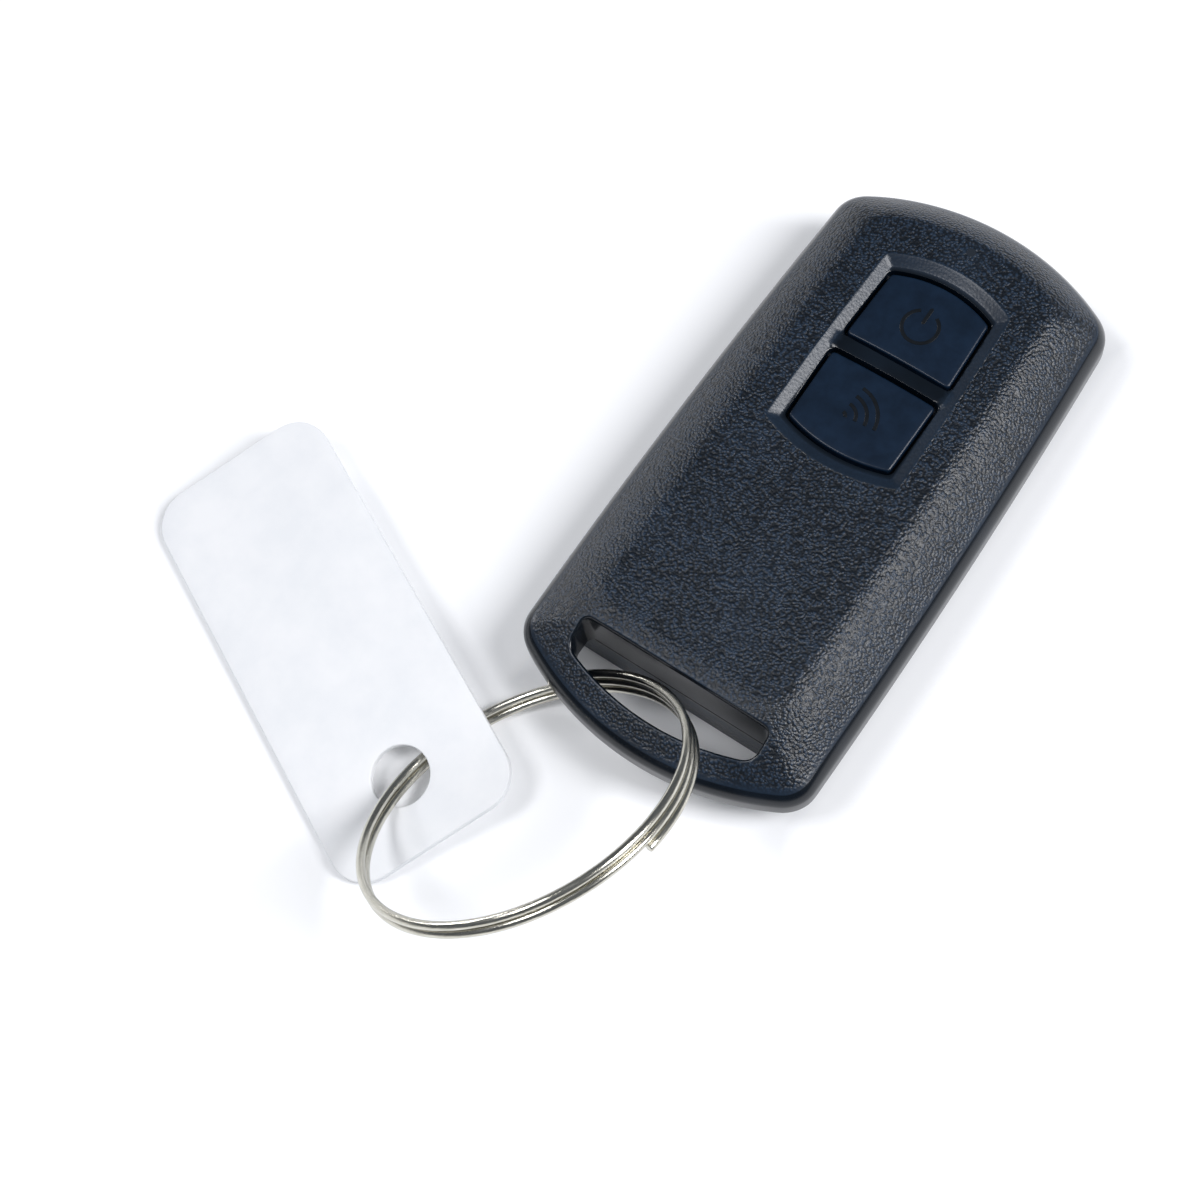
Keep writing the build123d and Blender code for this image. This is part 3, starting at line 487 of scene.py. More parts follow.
# %% Plan triangulation and walls
class Shell:
    """Collects points and faces of one piece, in millimetres, and makes the mesh."""

    def __init__(self):
        self.points, self.faces, self.grain, self.count = [], [], [], 0

    def add(self, points, faces, grain=0.0):
        """Add points (n, 3), faces that count from the first of them, and their grain, which is
        a number or a function of x and y."""
        value = grain(points[:, :2]) if callable(grain) else grain
        self.points.append(points)
        self.grain.append(np.broadcast_to(np.asarray(value, float), (len(points),)))
        self.faces += [tuple(self.count + i for i in f) for f in faces]
        self.count += len(points)

    def wall(self, upper, lower, grain=0.0, is_hole=False):
        """A strip from an upper to a lower closed line (n, 3), both counter-clockwise and with
        equally many points. Its faces look outwards, or into a hole."""
        n, turn = len(upper), -1 if is_hole else 1
        faces = [(i, n + i, n + (i + 1) % n, (i + 1) % n) for i in range(n)]
        points = np.vstack([upper[::turn], lower[::turn]])
        self.add(points, faces, grain)

    def upright(self, line, high, low, is_hole=False):
        """A vertical wall between two heights."""
        self.wall(at_height(line, high), at_height(line, low), is_hole=is_hole)

    def rounded_edge(self, field, centre, levels, count, height, is_hole=False, grain=0.0):
        """Strips between lines parallel to an outline, each lifted by height. Gives the first
        line and its field."""
        lines = [trace(field, centre, level, count) for level in levels]
        for upper, lower in zip(lines, lines[1:]):
            self.wall(lifted(upper, height), lifted(lower, height), grain, is_hole)
        return lines[0], lambda p: field(p) - levels[0]

    def plan(self, outer, holes, parallel, spacing, height, facing_up, grain=0.0):
        """Fill the plan between outer and holes with points, and lift them by height(points)."""
        points = [outer[0]] + [hole[0] for hole in holes]
        edges, start = [], 0
        for line in points:
            n = len(line)
            edges += [(start + i, start + (i + 1) % n) for i in range(n)]
            start += n
        low, high = outer[0].min(0), outer[0].max(0)
        across = np.arange(low[0], high[0], spacing)
        up = np.arange(low[1], high[1], spacing * 0.866)
        grid = np.stack(np.meshgrid(across, up), axis=-1)
        grid[1::2, :, 0] += spacing / 2
        grid = grid.reshape(-1, 2)
        room = spacing * (0.6 if parallel else 0.5)
        rings = np.vstack(parallel or [np.empty((0, 2))])
        rings = rings[self._inside(rings, outer, holes, 0.03)]
        if parallel:
            gaps = [np.linalg.norm(part[:, None] - rings, axis=2).min(1)
                    for part in np.array_split(grid, 24)]
            grid = grid[np.concatenate(gaps) > room]
        points += [grid[self._inside(grid, outer, holes, room)], rings]
        flat = np.vstack(points)
        made = delaunay_2d_cdt([Vector(p) for p in flat], edges, [], 0, 1e-5)
        plan = np.array([tuple(p) for p in made[0]])
        faces = np.array([f for f in made[2] if len(f) == 3])
        middle = plan[faces].mean(1)
        faces = faces[self._inside(middle, outer, holes, 0.0)]
        one, two, three = plan[faces[:, 0]], plan[faces[:, 1]], plan[faces[:, 2]]
        turn = (two[:, 0] - one[:, 0]) * (three[:, 1] - one[:, 1]) \
            - (two[:, 1] - one[:, 1]) * (three[:, 0] - one[:, 0])
        flip = (turn < 0) == facing_up
        faces[flip] = faces[flip][:, ::-1]
        self.add(lifted(plan, height), faces.tolist(), grain)

    @staticmethod
    def _inside(points, outer, holes, margin):
        """Which points lie inside the outer field and outside the holes' fields, by margin."""
        keep = outer[1](points) < -margin
        for _, field in holes:
            keep &= field(points) > margin
        return keep

    def build(self, name, material, place=None):
        """Make the mesh object, in metres, with its doubles merged."""
        points = np.vstack(self.points)
        if place is not None:
            points = points @ np.array(place.to_3x3()).T + np.array(place.translation)
        mesh = bpy.data.meshes.new(name)
        mesh.from_pydata((points * MM).tolist(), [], self.faces)
        grain = mesh.attributes.new("grain", "FLOAT", "POINT")
        grain.data.foreach_set("value", np.concatenate(self.grain))
        mesh.materials.append(material)
        made = placed(name, mesh)
        tidy_mesh(made, 0.004)
        return made


def tidy_mesh(thing, merge_mm, sharp_degrees=40):
    """Merge doubles and dissolve empty faces, then shade smooth with sharp edges by angle."""
    work = bmesh.new()
    work.from_mesh(thing.data)
    bmesh.ops.remove_doubles(work, verts=work.verts, dist=merge_mm * MM)
    bmesh.ops.dissolve_degenerate(work, edges=work.edges, dist=merge_mm * MM / 4)
    sharp = math.radians(sharp_degrees)
    for edge in work.edges:
        edge.smooth = not (len(edge.link_faces) == 2 and edge.calc_face_angle(0) > sharp)
    for polygon in work.faces:
        polygon.smooth = True
    work.to_mesh(thing.data)
    open_edges = sum(1 for edge in work.edges if len(edge.link_faces) != 2)
    work.free()
    print(thing.name, len(thing.data.polygons), "faces,", open_edges, "edges not shared by two faces")


def traced(field, centre, name):
    """An outline's line, with as many points as POINTS gives its name, and its field."""
    return trace(field, centre, 0, POINTS[name]), field


def parallels(field, centre, levels, count):
    """Lines of count points parallel to an outline at several levels."""
    return [trace(field, centre, level, count) for level in levels]


def tube_faces(rings, count, turn=1):
    """Faces between neighbouring rings of count points each; turn -1 makes them look the other way."""
    index = np.arange(rings * count).reshape(rings, count)
    beside = np.roll(index, -1, 1)
    faces = np.stack([index[:-1], beside[:-1], beside[1:], index[1:]], axis=-1)
    return faces.reshape(-1, 4)[:, ::turn].tolist()


def lifted(line, height):
    """A line (n, 2) raised to height(line)."""
    return np.column_stack([line, height(line)])


def flat_at(z):
    """A height function that is z everywhere."""
    return lambda p: np.full(len(p), z)


def at_height(line, z):
    """A flat closed line at height z."""
    return lifted(line, flat_at(z))


def soft_min(a, b, k):
    """Smaller of two values, rounded where they meet: b (1-h) + a h - k h (1-h), with
    h = 0.5 + 0.5 (b-a) / k held in 0..1."""
    h = np.clip(0.5 + 0.5 * (b - a) / k, 0, 1)
    return b * (1 - h) + a * h - k * h * (1 - h)


def edge_drop(distance, radius):
    """How far a quarter-round edge falls: r - sqrt(r^2 - (r-d)^2) at distance d, 0 beyond r."""
    short = np.clip(radius - distance, 0, radius)
    return radius - np.sqrt(np.maximum(radius**2 - short**2, 0))


def fade(distance, start, width):
    """0 up to start, 1 from start + width on, and even between."""
    return np.clip((distance - start) / width, 0, 1)


ROUND_STEPS = 1 - np.cos(np.linspace(0, np.pi / 2, 6))
POINTS = {"housing": 420, "slot": 200, "opening": 140, "lamp": 32, "face": 300, "recess": 240,
          "inner": 260, "hollow": 160, "post": 32, "key": 180, "nub": 40, "tag": 300, "tag_hole": 72}


# %% [markdown]
# ## Front half of the housing
# This is the piece that the eye meets first: a flat face inside broad, slightly crowned
# bevels, a soft rim, a stepped recess round the keys, a rib between them, and the slot that
# leaves a bar for the ring. A sharp CAD solid with bevel modifiers would crease at the
# corners, so the whole skin is one height formula, and the walls and the hollow follow it.

# %% Front housing surface
RIM_R, SLOT_R, OPENING_R, CREASE, CROWN = 0.9, 0.5, 0.12, 0.3, 0.6
RECESS_BLEND, RIB_HALF_X, RIB_END, RIB_SIDE = 0.1, 7.65, 0.15, 0.1
BAND_WIDTH, SLOT_BAND_WIDTH, FOOT_BEVEL = 1.1, 0.2, 0.3
SKIN_SPACING, HIDDEN_SPACING = 0.62, 2.5
POST_SIZE, POST_LOW_Z = 1.8, 7.0
POST_CENTRES = [(10.5, 26.0), (-10.5, 26.0), (10.5, -22.5), (-10.5, -22.5)]


def face_height(p):
    """Height of the outer skin: bevel RIM + (FACE-RIM) t with t = d / (d + s), d the distance to
    the housing's outline and s to the face's, crowned by 4 CROWN t (1-t), and softly cut at FACE."""
    inward = np.maximum(-housing(p), 0)
    to_face = face(p)
    t = inward / np.maximum(inward + to_face, 0.5)
    bevel = RIM_Z + (FACE_Z - RIM_Z) * t + 4 * CROWN * np.clip(t, 0, 1) * np.clip(1 - t, 0, 1)
    return soft_min(bevel, FACE_Z, CREASE)


def skin_height(p):
    """The skin with its recess, rib, rounded rim and rounded slot edge."""
    floor = FACE_Z - RECESS_DEPTH
    slope = FACE_Z - RECESS_DEPTH * np.maximum(-recess(p), -1.0) / RECESS_BORDER
    recessed = -soft_min(-slope, -floor, RECESS_BLEND)
    z = soft_min(face_height(p), recessed, RECESS_BLEND)
    from_rib = np.abs(p[:, 1] - (RIB_LOW_Y + RIB_HIGH_Y) / 2) - (RIB_HIGH_Y - RIB_LOW_Y) / 2
    on_rib = fade(-from_rib, -RIB_SIDE, RIB_SIDE) * fade(-np.abs(p[:, 0]), -RIB_HALF_X, RIB_END)
    z = np.where(recess(p) < -0.4, np.maximum(z, floor + RIB_HEIGHT * on_rib), z)
    z = z - edge_drop(np.maximum(-housing(p), 0), RIM_R)
    z = z - edge_drop(np.maximum(slot(p), 0), SLOT_R)
    for field in openings.values():
        z = z - edge_drop(np.maximum(field(p), 0), OPENING_R)
    return z


def skin_grain(p):
    """Full grain on the face and bevels, fine matt on the recess's border, none on the side band,
    the recess's floor and the slot's edge."""
    amount = fade(-housing(p), BAND_WIDTH, 0.6) * fade(slot(p), SLOT_BAND_WIDTH, 0.4)
    amount = amount * (MATT_GRAIN + (1 - MATT_GRAIN) * fade(recess(p), 0.02, 0.2))
    return amount * fade(recess(p), -RECESS_BORDER - 0.05, 0.1)


def square_post(centre):
    """Distance to a square of POST_SIZE round a centre."""
    return lambda p: np.abs(p - np.array(centre)).max(-1) - POST_SIZE / 2


def front_housing():
    """The skin, its walls, the bottom edge, the hollow and its four posts, as one closed shell."""
    shell = Shell()
    outline = trace(housing, (0, 0), 0, POINTS["housing"])
    slot_line = trace(slot, SLOT_CENTRE, 0, POINTS["slot"])
    inward = ROUND_STEPS[::-1]
    outer = shell.rounded_edge(housing, (0, 0), -RIM_R * inward, POINTS["housing"], skin_height)
    top_holes = [shell.rounded_edge(slot, SLOT_CENTRE, SLOT_R * inward, POINTS["slot"],
                                    skin_height, True, skin_grain)]
    roof_holes = [traced(lamp_hole, (0, LED_Y), "lamp")]
    for which, opening in openings.items():
        centre = KEY_CENTRES[which]
        top_holes.append(shell.rounded_edge(opening, centre, OPENING_R * ROUND_STEPS[[5, 3, 0]],
                                            POINTS["opening"], skin_height, True))
        roof_holes.append(traced(opening, centre, "opening"))
    top_holes.append(roof_holes[0])
    lines = parallels(housing, (0, 0), [-1.5, -1.9], POINTS["face"])
    lines += parallels(face, (0, 0), np.linspace(1.0, -1.0, 9), POINTS["face"])
    lines += parallels(recess, (0, 14), [0.22, 0.1, 0, -0.1, -0.22, -0.7, -1.1, -1.2, -1.3],
                       POINTS["recess"])
    shell.plan(outer, top_holes, lines, SKIN_SPACING, skin_height, True, skin_grain)

    foot = trace(housing, (0, 0), -FOOT_BEVEL, POINTS["housing"])
    slot_foot = trace(slot, SLOT_CENTRE, FOOT_BEVEL, POINTS["slot"])
    for line, low_line, is_hole in ((outline, foot, False), (slot_line, slot_foot, True)):
        bend = at_height(line, PARTING_Z + FOOT_BEVEL)
        shell.wall(lifted(line, skin_height), bend, is_hole=is_hole)
        shell.wall(bend, at_height(low_line, PARTING_Z), is_hole=is_hole)

    def inner_body(p):
        return body(p) + SHELL_WALL

    step_z = RIM_Z - 0.8
    inner = traced(inner_body, (0, 0), "inner")
    roof = traced(hollow, (0, 0), "hollow")
    lower_outer = (foot, lambda p: housing(p) + FOOT_BEVEL)
    lower_holes = [inner, (slot_foot, lambda p: slot(p) - FOOT_BEVEL)]
    shell.plan(lower_outer, lower_holes, [], HIDDEN_SPACING, flat_at(PARTING_Z), False)
    shell.upright(inner[0], step_z, PARTING_Z, True)
    shell.plan(inner, [roof], [], HIDDEN_SPACING, flat_at(step_z), False)
    shell.upright(roof[0], ROOF_Z, step_z, True)
    posts = [traced(square_post(centre), centre, "post") for centre in POST_CENTRES]
    shell.plan(roof, roof_holes + posts, [], HIDDEN_SPACING, flat_at(ROOF_Z), False)
    for post in posts:
        shell.upright(post[0], ROOF_Z, POST_LOW_Z)
        shell.plan(post, [], [], 1.0, flat_at(POST_LOW_Z), False)
    for line, _ in roof_holes:
        shell.wall(lifted(line, skin_height), at_height(line, ROOF_Z), is_hole=True)
    return shell.build("front_housing", HOUSING)


front = front_housing()
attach(front, "fob")
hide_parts("front_case")

# %% [markdown]
# ## Back half of the housing
# The rear case's shape is right as packed: a tray with bevelled walls, a pry notch and snap
# ridges. Its facets only need smooth shading, so a copy of its mesh is merged and shaded by
# angle. Its bevel and back are grained like the front, and the band at the parting line is not.

# %% Rear housing
REAR_BAND_Z = (3.2, 3.8)
REAR_WALL, REAR_FLOOR_Z = 4.3, 0.5


def merged_copy(node_name, name, material, grain_of):
    """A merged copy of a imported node's mesh, with smooth shading and a grain value on each point."""
    made = placed(name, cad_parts[node_name].data.copy())
    made.data.materials.clear()
    made.data.materials.append(material)
    tidy_mesh(made, 0.003, 30)
    points = np.empty(len(made.data.vertices) * 3)
    made.data.vertices.foreach_get("co", points)
    grain = made.data.attributes.new("grain", "FLOAT", "POINT")
    grain.data.foreach_set("value", grain_of(points.reshape(-1, 3) / MM))
    weighted = made.modifiers.new("even_normals", "WEIGHTED_NORMAL")
    weighted.keep_sharp = True
    return made


def rear_grain(p):
    """Full grain below the band, none on it and inside."""
    low, high = REAR_BAND_Z
    inside = (body(p[:, :2]) < -REAR_WALL) & (p[:, 2] > REAR_FLOOR_Z)
    return np.where(inside, 0.0, fade(-p[:, 2], -high, high - low))


rear = merged_copy("rear_case", "rear_housing", HOUSING, rear_grain)
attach(rear, "fob")
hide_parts("rear_case")

# %% [markdown]
# ## Keys
# Each key is a low cap whose edge is rounded by a small radius and whose top is very slightly
# domed. The same plan method makes it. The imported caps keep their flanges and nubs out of
# sight, so the piece here has both too.

# %% Key caps
KEY_TOP_Z = FACE_Z - RECESS_DEPTH + KEY_PROUD
FLANGE_TOP_Z, FLANGE_LOW_Z, FLANGE_REACH = 10.9, 10.1, 0.5
KEY_EDGE_R, KEY_DOME, KEY_DOME_HALF = 0.28, 0.06, np.array([7.0, 5.5])
NUB_R, NUB_Z = 1.5, 9.1
SWITCH_YS = {"upper": 20.3, "lower": 7.8}


def key_top(p, which):
    """Height of a cap's domed top away from its edge."""
    away = np.linalg.norm((p - np.array(KEY_CENTRES[which])) / KEY_DOME_HALF, axis=-1)
    return KEY_TOP_Z - KEY_DOME * away**2


def key_cap(which):
    """A cap with a rounded edge and a low dome, a flange under the roof and a nub below."""
    shell = Shell()
    opening, centre, nub_y = openings[which], KEY_CENTRES[which], SWITCH_YS[which]
    field = lambda p: opening(p) + KEY_GAP
    wider = lambda p: opening(p) - FLANGE_REACH
    cap, flange = traced(field, centre, "key"), traced(wider, centre, "key")
    nub = traced(disc(nub_y, NUB_R), (0, nub_y), "nub")

    def top(p):
        return key_top(p, which) - edge_drop(np.maximum(-field(p), 0), KEY_EDGE_R)

    inner = shell.rounded_edge(field, centre, -KEY_EDGE_R * ROUND_STEPS[::-1], POINTS["key"], top)
    shell.plan(inner, [], [], 0.6, top, True)
    shell.wall(lifted(cap[0], top), at_height(cap[0], FLANGE_TOP_Z))
    shell.plan(flange, [cap], [], 1.5, flat_at(FLANGE_TOP_Z), True)
    shell.upright(flange[0], FLANGE_TOP_Z, FLANGE_LOW_Z)
    shell.plan(flange, [nub], [], 1.5, flat_at(FLANGE_LOW_Z), False)
    shell.upright(nub[0], FLANGE_LOW_Z, NUB_Z)
    shell.plan(nub, [], [], 1.0, flat_at(NUB_Z), False)
    return shell.build(f"{which}_key_cap", KEY)


def stroke(shell, which, path):
    """One raised line of a pictogram: a low flat-topped section carried along a path on the cap."""
    path = np.asarray(path, float)
    along = np.gradient(path, axis=0)
    along /= np.linalg.norm(along, axis=1)[:, None]
    side = np.stack([-along[:, 1], along[:, 0]], axis=1)
    across = np.array([-0.5, -0.36, 0.36, 0.5, 0.36, -0.36]) * STROKE_WIDTH
    lift = np.array([-0.02, STROKE_HEIGHT, STROKE_HEIGHT, -0.02, -0.08, -0.08])
    taper = np.ones(len(path))
    taper[[0, -1]] = 0.0
    flat = path[:, None] + side[:, None] * (across[None] * taper[:, None])[..., None]
    z = key_top(path, which)[:, None] + np.where(taper[:, None] > 0, lift[None], -0.04)
    points = np.concatenate([flat, z[..., None]], axis=-1)
    shell.add(points.reshape(-1, 3), tube_faces(*points.shape[:2], -1))


def arc_path(centre, radius, first, last, count=24):
    """Points on a circle from first to last, in degrees, with both ends doubled for the taper."""
    angle = np.radians(np.linspace(first, last, count))
    angle = np.concatenate([[angle[0] - 0.02], angle, [angle[-1] + 0.02]])
    return np.array(centre) + radius * np.stack([np.cos(angle), np.sin(angle)], axis=1)


STROKE_WIDTH, STROKE_HEIGHT = 0.48, 0.05
PICTOGRAMS = {
    "upper": [arc_path(KEY_CENTRES["upper"], 2.1, 120, 420),
              np.stack([np.zeros(8), np.linspace(20.6, 23.3, 8)], axis=1)],
    "lower": [arc_path((-1.6, 6.4), radius, 5, 85) for radius in (0.5, 1.7, 2.9, 4.1)],
}

for which in ("upper", "lower"):
    cap = key_cap(which)
    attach(cap, f"{which}_key")
    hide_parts(f"{which}_button")
    signs = Shell()
    for path in PICTOGRAMS[which]:
        stroke(signs, which, path)
    sign = signs.build(f"{which}_key_pictogram", KEY_SIGN)
    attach(sign, f"{which}_key")

# %% [markdown]
# ## Split ring
# A split ring is a coil of two turns and a little more, wound from round spring wire. The
# coil's formula is a circle whose height grows with the angle, and the wire is a circle
# carried along it. The ends are cut square and lightly rounded by tumbling.

# %% Wire coil
RING_R, WIRE_R, RING_PITCH, RING_HALF_TURNS, RING_EXTRA = 18.86, 0.5, 1.08, 4.5, 0.12
COIL_RINGS, WIRE_SIDES = 620, 20
RING_CENTRE = np.array([-5.19, -49.13, 13.09])
RING_TILT, RING_LEAN, RING_START = (math.radians(a) for a in (39.4, 155.7, 114.0))
RING_AXIS = np.array([math.sin(RING_TILT) * math.cos(RING_LEAN),
                      math.sin(RING_TILT) * math.sin(RING_LEAN), math.cos(RING_TILT)])
RING_X = np.array([-math.sin(RING_LEAN), math.cos(RING_LEAN), 0.0])
RING_Y = np.cross(RING_AXIS, RING_X)


def wire_coil():
    """Points c + R cos(a) X + R sin(a) Y + h(a) N with h = pitch (a - middle) / 2 pi, and round it
    the wire's circle. At both ends the radius shrinks to nothing over three short steps."""
    turns = np.pi * (RING_HALF_TURNS + RING_EXTRA)
    angle = np.linspace(0, turns, COIL_RINGS)
    cut = np.array([0.0, 0.0, 0.10, 0.25]) * WIRE_R / RING_R
    angle = np.concatenate([cut, angle[3:-3], turns - cut[::-1]])
    radius = np.full(len(angle), WIRE_R)
    radius[:4] = np.array([0.0, 0.72, 0.93, 1.0]) * WIRE_R
    radius[-4:] = radius[:4][::-1]
    a = angle + RING_START
    height = RING_PITCH / np.pi / 2 * (angle - np.pi * RING_HALF_TURNS / 2)
    out = np.cos(a)[:, None] * RING_X + np.sin(a)[:, None] * RING_Y
    path = RING_CENTRE + RING_R * out + height[:, None] * RING_AXIS
    around = np.linspace(0, 2 * np.pi, WIRE_SIDES, endpoint=False)
    section = np.cos(around)[None, :, None] * out[:, None] + np.sin(around)[None, :, None] * RING_AXIS
    points = path[:, None] + radius[:, None, None] * section
    return points, angle


def tube_object(name, points, along, material):
    """A grid of points (rings, round) as a closed tube with a UV map: u along it, v round it."""
    rings, round_count = points.shape[:2]
    mesh = bpy.data.meshes.new(name)
    mesh.from_pydata((points.reshape(-1, 3) * MM).tolist(), [], tube_faces(rings, round_count))
    u = np.stack([along[:-1], along[:-1], along[1:], along[1:]], axis=1)
    side = np.arange(round_count)
    v = np.stack([side, side + 1, side + 1, side], axis=1) / round_count
    uv = np.stack([np.broadcast_to(u[:, None, :], (rings - 1, round_count, 4)),
                   np.broadcast_to(v[None], (rings - 1, round_count, 4))], axis=-1)
    layer = mesh.uv_layers.new(name="along_wire")
    layer.data.foreach_set("uv", uv.reshape(-1))
    mesh.materials.append(material)
    made = placed(name, mesh)
    tidy_mesh(made, 0.002)
    return made


coil_points, coil_angle = wire_coil()
coil = tube_object("wire_split_ring", coil_points, coil_angle / (2 * np.pi), WIRE)
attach(coil, "ring")
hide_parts("split_ring")

# %% [markdown]
# ## Tag
# The tag is die-cut from 1 mm white PVC sheet: a rounded rectangle with one hole, whose
# edges are slightly broken by the die. The same plan method makes both faces.

# %% Tag plate
TAG_HALF, TAG_LENGTH, TAG_THICK, TAG_CORNER_R = 11.5, 54.0, 1.0, 4.5
TAG_HOLE_R, TAG_HOLE_Y, TAG_EDGE_R, TAG_SPACING = 3.5, 8.83, 0.16, 1.2
TAG_ORIGIN = Vector((-13.15, -56.77, 2.81))
TAG_X = Vector((0.429, 0.883, 0.190)).normalized()
TAG_Z = Vector((-0.084, -0.170, 0.982)).normalized()


def tag_outline(p):
    """A rounded rectangle from y = 0 to the tag's length."""
    return rounded_corner(p, lambda q: np.abs(q[..., 0]) - TAG_HALF,
                          lambda q: np.abs(q[..., 1] - TAG_LENGTH / 2) - TAG_LENGTH / 2, TAG_CORNER_R)


tag_hole = disc(TAG_HOLE_Y, TAG_HOLE_R)


def tag_plate():
    """Two faces at plus and minus half the thickness, with broken edges, and the walls between."""
    shell = Shell()
    middle, hole_centre = (0, TAG_LENGTH / 2), (0, TAG_HOLE_Y)
    inward = TAG_EDGE_R * ROUND_STEPS[::-1]

    def top(p):
        near = np.minimum(np.maximum(-tag_outline(p), 0), np.maximum(tag_hole(p), 0))
        return TAG_THICK / 2 - edge_drop(near, TAG_EDGE_R)

    def under(p):
        return -top(p)

    rim, hole_rim = POINTS["tag"], POINTS["tag_hole"]
    outer = shell.rounded_edge(tag_outline, middle, -inward, rim, top)
    hole = shell.rounded_edge(tag_hole, hole_centre, inward, hole_rim, top, True)
    shell.plan(outer, [hole], [], TAG_SPACING, top, True)
    shell.rounded_edge(tag_outline, middle, -inward[::-1], rim, under)
    shell.rounded_edge(tag_hole, hole_centre, inward[::-1], hole_rim, under, True)
    shell.plan(outer, [hole], [], TAG_SPACING, under, False)
    line = trace(tag_outline, middle, 0, rim)
    shell.wall(lifted(line, top), lifted(line, under))
    line = trace(tag_hole, hole_centre, 0, hole_rim)
    shell.wall(lifted(line, top), lifted(line, under), is_hole=True)
    x_dir = (TAG_X - TAG_X.project(TAG_Z)).normalized()
    turn = Matrix((x_dir, TAG_Z.cross(x_dir), TAG_Z)).transposed()
    return shell.build("white_tag", TAG, place=Matrix.Translation(TAG_ORIGIN) @ turn.to_4x4())


tag = tag_plate()
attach(tag, "tag")
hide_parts("id_tag")

# %% [markdown]
# ## Snap domes
# Under each plunger sits a dome of spring steel 0.1 mm thick, which snaps flat as the key
# goes down. It is a shallow bowl, h (1 - (r/R)^2), made as a closed shell of two such
# surfaces.

# %% Snap domes
DOME_R, DOME_LOW_Z, DOME_RISE, DOME_THICK = 1.65, 7.45, 0.28, 0.1
DOME_RINGS, DOME_SIDES = 9, 32


def snap_dome(which):
    """Rings of points from the middle to the rim, on the outer bowl and back on the inner one."""
    radii = np.linspace(0, 1, DOME_RINGS)
    profile_r = np.concatenate([radii, radii[::-1]]) * DOME_R
    bowl = DOME_RISE * (1 - radii**2)
    profile_z = np.concatenate([bowl + DOME_THICK, bowl[::-1]]) + DOME_LOW_Z
    around = np.linspace(0, 2 * np.pi, DOME_SIDES, endpoint=False)
    x = profile_r[:, None] * np.cos(around)
    y = profile_r[:, None] * np.sin(around) + SWITCH_YS[which]
    points = np.stack([x, y, np.broadcast_to(profile_z[:, None], x.shape)], axis=-1)
    shell = Shell()
    shell.add(points.reshape(-1, 3), tube_faces(*x.shape, -1))
    return shell.build(f"{which}_steel_dome", STEEL)


for which in ("upper", "lower"):
    dome = snap_dome(which)
    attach(dome, "fob")
    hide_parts(f"{which}_snap_dome")
    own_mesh(dome)

# %% [markdown]
# ## Pieces that keep their CAD shape
# The light pipe and the pieces inside are right as they are packed. They only need the finish
# of the real thing: solder mask, rolled metal, ferrite, copper, silicone and nylon.

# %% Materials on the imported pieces
FINISHES = {
    "led_window": ACRYLIC, "case_gasket": SILICONE, "keypad_seal": SILICONE,
    "circuit_board": BOARD, "board_carrier": CARRIER, "coin_cell": CAN,
    "battery_plus_contact": STEEL, "battery_minus_contact": STEEL,
    "upper_switch": SWITCH_BODY, "lower_switch": SWITCH_BODY,
    "upper_plunger": PLUNGER, "lower_plunger": PLUNGER,
    "control_chip": EPOXY, "radio_chip": EPOXY, "quartz_crystal": CAN, "status_lamp": LAMP,
    "chip_components": EPOXY, "antenna_base": SWITCH_BODY, "antenna_core": FERRITE,
    "antenna_winding": COPPER,
}
for name, material in FINISHES.items():
    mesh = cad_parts[name].data
    mesh.materials.clear()
    mesh.materials.append(material)
print("finishes on", len(FINISHES), "packed pieces")

# %% [markdown]
# ## Floor and light
# The object lies on a plain white table in soft light. One large soft light stands to the
# right and makes the right bevel shine. A low one at the left lights the bar and the ring
# end's corner, and one high over the ring end lightens the face there. The floor looks white
# to the camera and keeps the object's shadow. WHITE_LIFT is the glow that it has near the
# object, and UNDER_LIFT the much weaker one right under the fob, which the slot shows.

# %% Floor, lamps and world
FLOOR_HALF, FLOOR_Z = 1.5, -0.00003
floor_mesh = bpy.data.meshes.new("floor")
floor_mesh.from_pydata([(x * FLOOR_HALF, y * FLOOR_HALF, FLOOR_Z)
                        for x, y in ((-1, -1), (1, -1), (1, 1), (-1, 1))], [], [(0, 1, 2, 3)])
floor = placed("floor", floor_mesh)

WHITE_LIFT, UNDER_LIFT, SHADOW_REACH, WHITE_FROM = 0.15, 0.03, 0.11, 0.22


def looked_at(tree):
    """1 for rays from the camera and for mirrored and transmitted rays, else 0."""
    seen = node(tree, "ShaderNodeLightPath").outputs
    direct = maths(tree, "MAXIMUM", seen["Is Camera Ray"], seen["Is Glossy Ray"])
    return maths(tree, "MAXIMUM", direct, seen["Is Transmission Ray"])


floor_material, tree = new_material("white_table")
shown = looked_at(tree)
place = metre_place(tree)
scaled = node(tree, "ShaderNodeVectorMath", operation="DIVIDE", links={0: place},
              values={1: (HALF_WIDTH * MM, HALF_LENGTH * MM, 1.0)})
off_middle = node(tree, "ShaderNodeVectorMath", operation="ABSOLUTE",
                  links={0: scaled.outputs["Vector"]})
parts = node(tree, "ShaderNodeSeparateXYZ", links={0: off_middle.outputs["Vector"]}).outputs
beside_fob = maths(tree, "MAXIMUM", parts["X"], parts["Y"])
glow = maths(tree, "MULTIPLY", shown, spread(tree, beside_fob, UNDER_LIFT, WHITE_LIFT, 0.9, 1.0))
lift = node(tree, "ShaderNodeEmission", values={"Color": (1, 1, 1, 1)}, links={"Strength": glow})
matt = node(tree, "ShaderNodeBsdfDiffuse", values={"Color": linear("#F2F3F5")})
near = node(tree, "ShaderNodeAddShader", links={0: matt.outputs[0], 1: lift.outputs[0]})
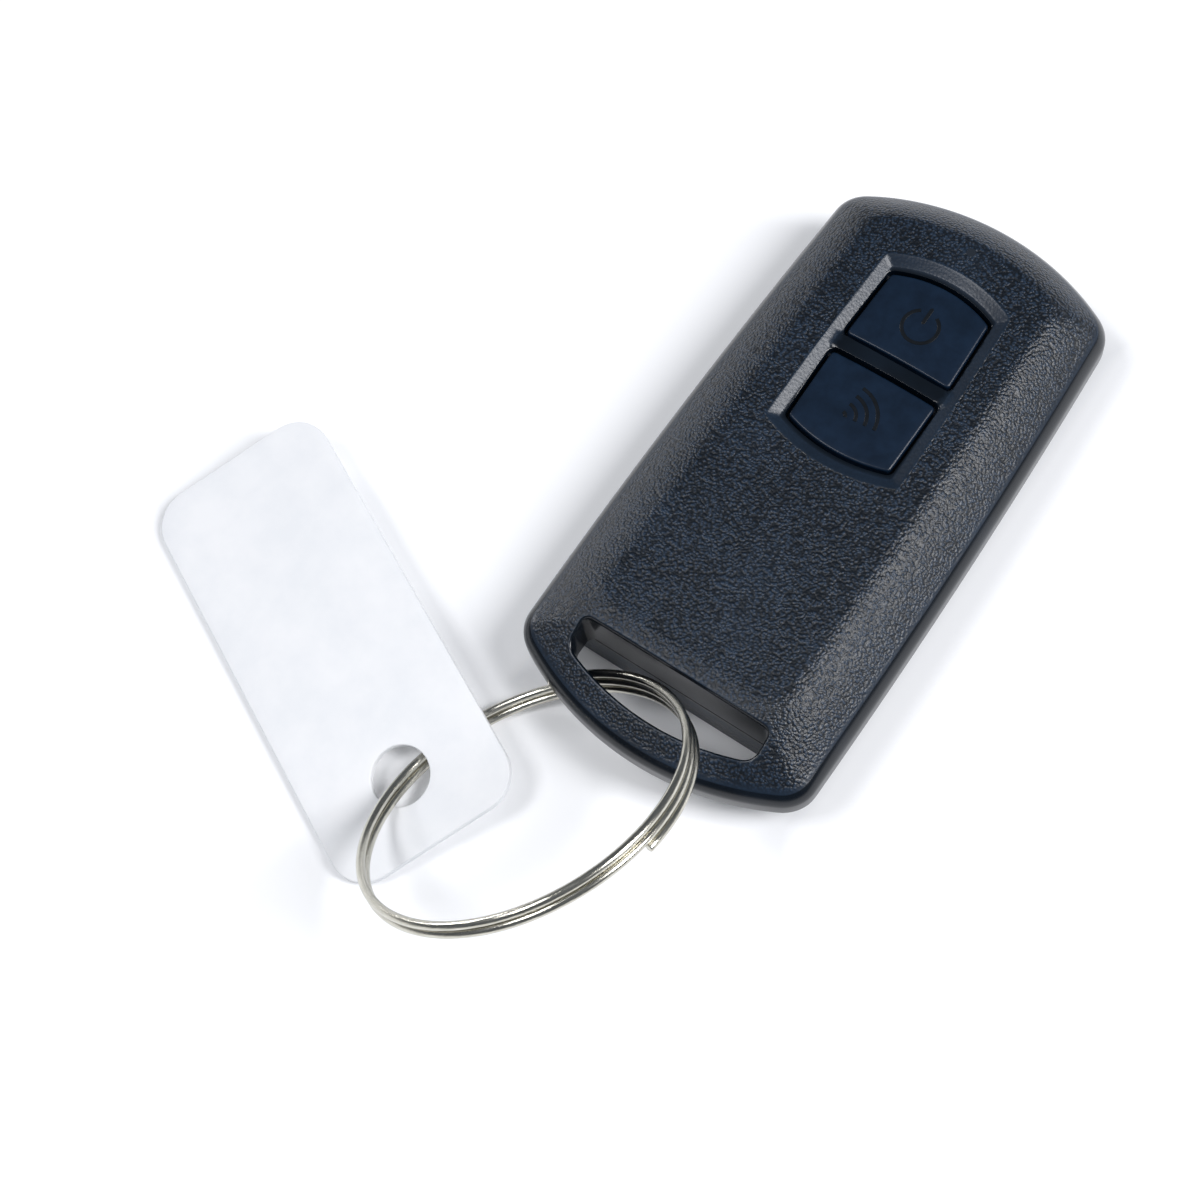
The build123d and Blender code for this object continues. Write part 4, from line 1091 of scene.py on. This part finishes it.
away = node(tree, "ShaderNodeVectorMath", operation="LENGTH", links={0: place}).outputs["Value"]
far_share = maths(tree, "MULTIPLY", spread(tree, away, 0.0, 1.0, SHADOW_REACH, WHITE_FROM), shown)
white = node(tree, "ShaderNodeEmission", values={"Color": (1, 1, 1, 1), "Strength": 1.0})
upper = node(tree, "ShaderNodeMixShader",
             links={0: far_share, 1: near.outputs[0], 2: white.outputs[0]})
below = node(tree, "ShaderNodeNewGeometry").outputs["Backfacing"]
clear = node(tree, "ShaderNodeBsdfTransparent")
whole = node(tree, "ShaderNodeMixShader", links={0: below, 1: upper.outputs[0], 2: clear.outputs[0]})
floor_mesh.materials.append(finish_material(floor_material, tree, whole))


def soft_light(name, direction, distance, size, strength):
    """A rectangular area lamp that looks at the fob from a direction."""
    lamp = bpy.data.lights.new(name, "AREA")
    lamp.shape = "RECTANGLE"
    lamp.size, lamp.size_y = size
    lamp.energy = strength
    lamp.color = linear(LAMP_COLOUR)[:3]
    thing = placed(name, lamp)
    place = Vector(direction).normalized() * distance
    thing.matrix_world = Matrix.Translation(place) @ place.to_track_quat("Z", "Y").to_matrix().to_4x4()


LAMP_COLOUR = "#FDFDFF"
soft_light("right_window", (0.64, 0.22, 0.71), 0.8, (0.24, 0.45), 6.2)
soft_light("left_window", (-0.94, 0.0, 0.34), 0.9, (0.2, 0.2), 1.9)
soft_light("ceiling_window", (-0.32, -0.34, 0.88), 0.9, (0.25, 0.25), 2.6)

world = bpy.data.worlds.new("studio")
world.use_nodes = True
tree = world.node_tree
tree.nodes.clear()
dim = node(tree, "ShaderNodeBackground", values={"Color": linear("#D9E2EF"), "Strength": 0.17})
bright = node(tree, "ShaderNodeBackground", values={"Color": (1, 1, 1, 1), "Strength": 1.0})
camera_ray = node(tree, "ShaderNodeLightPath").outputs["Is Camera Ray"]
sky = node(tree, "ShaderNodeMixShader", links={0: camera_ray, 1: dim.outputs[0], 2: bright.outputs[0]})
node(tree, "ShaderNodeOutputWorld", links={"Surface": sky.outputs[0]})
bpy.context.scene.world = world
